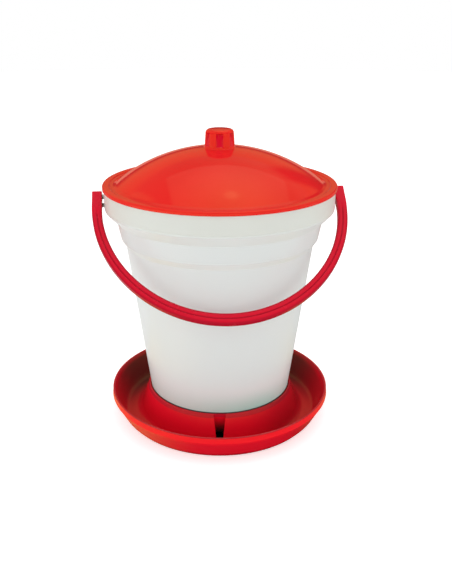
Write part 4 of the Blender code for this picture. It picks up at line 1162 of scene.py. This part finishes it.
def white_floor():
    """A pale floor that stays white in the picture and keeps the drinker's soft shadow."""
    shape = bmesh.new()
    bmesh.ops.create_circle(shape, cap_ends=True, segments=FLOOR_SIDES, radius=FLOOR_RADIUS)
    floor = from_bmesh("floor", shape)
    floor.location = (0.0, 0.0, -FLOOR_DROP)
    material = bpy.data.materials.new("floor_white")
    nodes = Nodes(material)
    diffuse = nodes.add("BsdfDiffuse")
    fill = nodes.add("Emission")
    path = nodes.add("LightPath")
    reflected = nodes.maths("MAXIMUM", path.outputs["Is Glossy Ray"], path.outputs["Is Transmission Ray"])
    nodes.link(nodes.product(path.outputs["Is Camera Ray"], FLOOR_FILL), fill.inputs["Strength"])
    # In reflections the floor before the drinker is in shade, and brightest on the left
    across, deep, _ = nodes.split(nodes.add("TexCoord").outputs["Object"])
    reach = nodes.distance(across, deep)
    bearing = nodes.maths("ARCTAN2", across, nodes.product(deep, -1.0))
    left = nodes.ramp(bearing, *FLOOR_LEFT_SPAN)
    right = nodes.product(nodes.ramp(bearing, *FLOOR_RIGHT_SPAN), FLOOR_RIGHT_SHARE)
    beyond = nodes.maths(
        "MAXIMUM", nodes.product(nodes.ramp(reach, *FLOOR_NEAR_SPAN), FLOOR_NEAR_SHARE),
        nodes.ramp(reach, *FLOOR_FAR_SPAN))
    dimmed = nodes.product(
        nodes.ramp(bearing, *FLOOR_DIM_START_SPAN), nodes.ramp(bearing, *FLOOR_DIM_END_SPAN))
    beyond = nodes.product(beyond, nodes.line(dimmed, FLOOR_DIM_SHARE, 1.0))
    bright = nodes.maths("MAXIMUM", nodes.maths("MAXIMUM", left, right), beyond)
    warm = nodes.product(
        nodes.ramp(reach, *FLOOR_WARM_REACH_SPAN), nodes.ramp(deep, *FLOOR_WARM_DEEP_SPAN))
    behind = nodes.product(
        nodes.ramp(reach, *FLOOR_BACK_REACH_SPAN), nodes.ramp(deep, *FLOOR_BACK_DEEP_SPAN))
    tone = nodes.mix(warm, FLOOR_TONE, FLOOR_WARM_TONE)
    tone = nodes.mix(behind, tone, FLOOR_BACK_TONE)
    reflection = nodes.mix(bright, FLOOR_SHADE, tone)
    nodes.link(nodes.mix(reflected, FLOOR_COLOUR, reflection), diffuse.inputs["Color"])
    both = nodes.add("AddShader")
    nodes.link(diffuse.outputs[0], both.inputs[0])
    nodes.link(fill.outputs[0], both.inputs[1])
    nodes.end("OutputMaterial", both)
    floor.data.materials.append(material)


def softbox():
    """A wide lamp overhead whose cloth is brighter towards the bulb behind it."""
    data = bpy.data.lights.new("softbox", "AREA")
    data.shape = "RECTANGLE"
    data.size = SOFTBOX_WIDTH
    data.size_y = SOFTBOX_DEPTH
    data.energy = SOFTBOX_WIDTH * SOFTBOX_DEPTH * math.pi * SOFTBOX_LEVEL
    add_object("softbox", data).location = SOFTBOX_PLACE
    nodes = Nodes(data)
    emission = nodes.add("Emission")
    nodes.end("OutputLight", emission)
    across, deep, _ = nodes.split(nodes.add("NewGeometry").outputs["Parametric"])
    bulb_across, bulb_deep = SOFTBOX_BULB
    far = nodes.distance(
        nodes.product(nodes.maths("SUBTRACT", across, bulb_across), SOFTBOX_WIDTH),
        nodes.product(nodes.maths("SUBTRACT", deep, bulb_deep), SOFTBOX_DEPTH))
    bulb = nodes.line(nodes.ramp(far, *BULB_SPAN), BULB_LEVEL, EDGE_LEVEL)
    glow = nodes.line(nodes.ramp(far, *CLOTH_SPAN), CLOTH_LEVEL, bulb)
    nodes.link(glow, emission.inputs["Strength"])


def add_camera():
    data = bpy.data.cameras.new("camera")
    data.sensor_fit = "HORIZONTAL"
    data.sensor_width = CAMERA_SENSOR
    data.lens = CAMERA_FOCUS * CAMERA_SENSOR / PHOTO_WIDTH
    data.shift_x = CAMERA_SHIFT_ACROSS / PHOTO_WIDTH
    data.shift_y = CAMERA_SHIFT_UP / PHOTO_WIDTH
    camera = add_object("camera", data)
    camera.location = (
        -CAMERA_DISTANCE * math.sin(TURN), -CAMERA_DISTANCE * math.cos(TURN), CAMERA_HEIGHT)
    camera.rotation_euler = (math.pi / 2 - CAMERA_PITCH, 0.0, -TURN)
    bpy.context.scene.camera = camera


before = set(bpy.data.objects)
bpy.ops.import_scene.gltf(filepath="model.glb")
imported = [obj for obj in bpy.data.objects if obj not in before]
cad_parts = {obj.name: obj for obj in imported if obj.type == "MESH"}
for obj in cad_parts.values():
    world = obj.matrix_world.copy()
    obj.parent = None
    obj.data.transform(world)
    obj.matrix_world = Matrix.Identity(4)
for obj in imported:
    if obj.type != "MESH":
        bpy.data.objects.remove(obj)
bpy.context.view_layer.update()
bpy.context.scene.view_settings.view_transform = "Standard"

lid_material = plastic(
    "lid_red", colour=(0.85, 0.018, 0.020), shade=(0.82, 0.016, 0.018), roughness=0.07, specular=0.5,
    tint=(1.0, 1.0, 0.22), paint=lid_paint)
bucket_material = plastic(
    "bucket_white", colour=(0.735, 0.755, 0.700), shade=(0.725, 0.745, 0.690), roughness=0.30,
    specular=0.5, paint=bucket_paint, subsurface=0.15)
tray_material = plastic(
    "tray_red", colour=(0.84, 0.005, 0.024), shade=(0.81, 0.004, 0.022), roughness=0.24, specular=0.36,
    tint=(1.0, 0.9, 0.3), paint=tray_paint)
bail_material = plastic(
    "bail_red", colour=(0.72, 0.005, 0.028), shade=(0.69, 0.004, 0.026), roughness=0.26, specular=0.3,
    tint=(1.0, 0.5, 0.5), paint=bail_paint)
rubber = plastic(
    "seal_rubber", colour=(0.030, 0.030, 0.030), shade=(0.024, 0.024, 0.025), roughness=0.65,
    specular=0.35, grain=RUBBER_GRAIN)
valve_plastic = plastic(
    "valve_grey", colour=(0.30, 0.31, 0.32), shade=(0.28, 0.29, 0.30), roughness=0.42, specular=0.45)
steel = plastic(
    "spring_steel", colour=(0.56, 0.57, 0.58), shade=(0.50, 0.51, 0.52), roughness=0.28, specular=0.5)
steel.node_tree.nodes["Principled BSDF"].inputs["Metallic"].default_value = 1.0

finish_piece(build_lid(), "lid", "lid", lid_material, "lid")
finish_piece(build_bucket(), "tray_and_bucket", "bucket", bucket_material, "bucket")
finish_piece(build_tray(), "tray_and_bucket", "tray", tray_material, "drinking_tray")
finish_piece(build_handle(), "bail", "bail", bail_material, "handle")

for node, material in (
        ("lid_seal", rubber), ("valve_washer", rubber), ("valve_seal", rubber),
        ("valve_body", valve_plastic), ("valve_nut", valve_plastic), ("valve_stem", valve_plastic),
        ("valve_spring", steel), ("valve_clip", steel)):
    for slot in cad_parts[node].material_slots:
        slot.material = material

white_environment()
white_floor()
softbox()
add_camera()
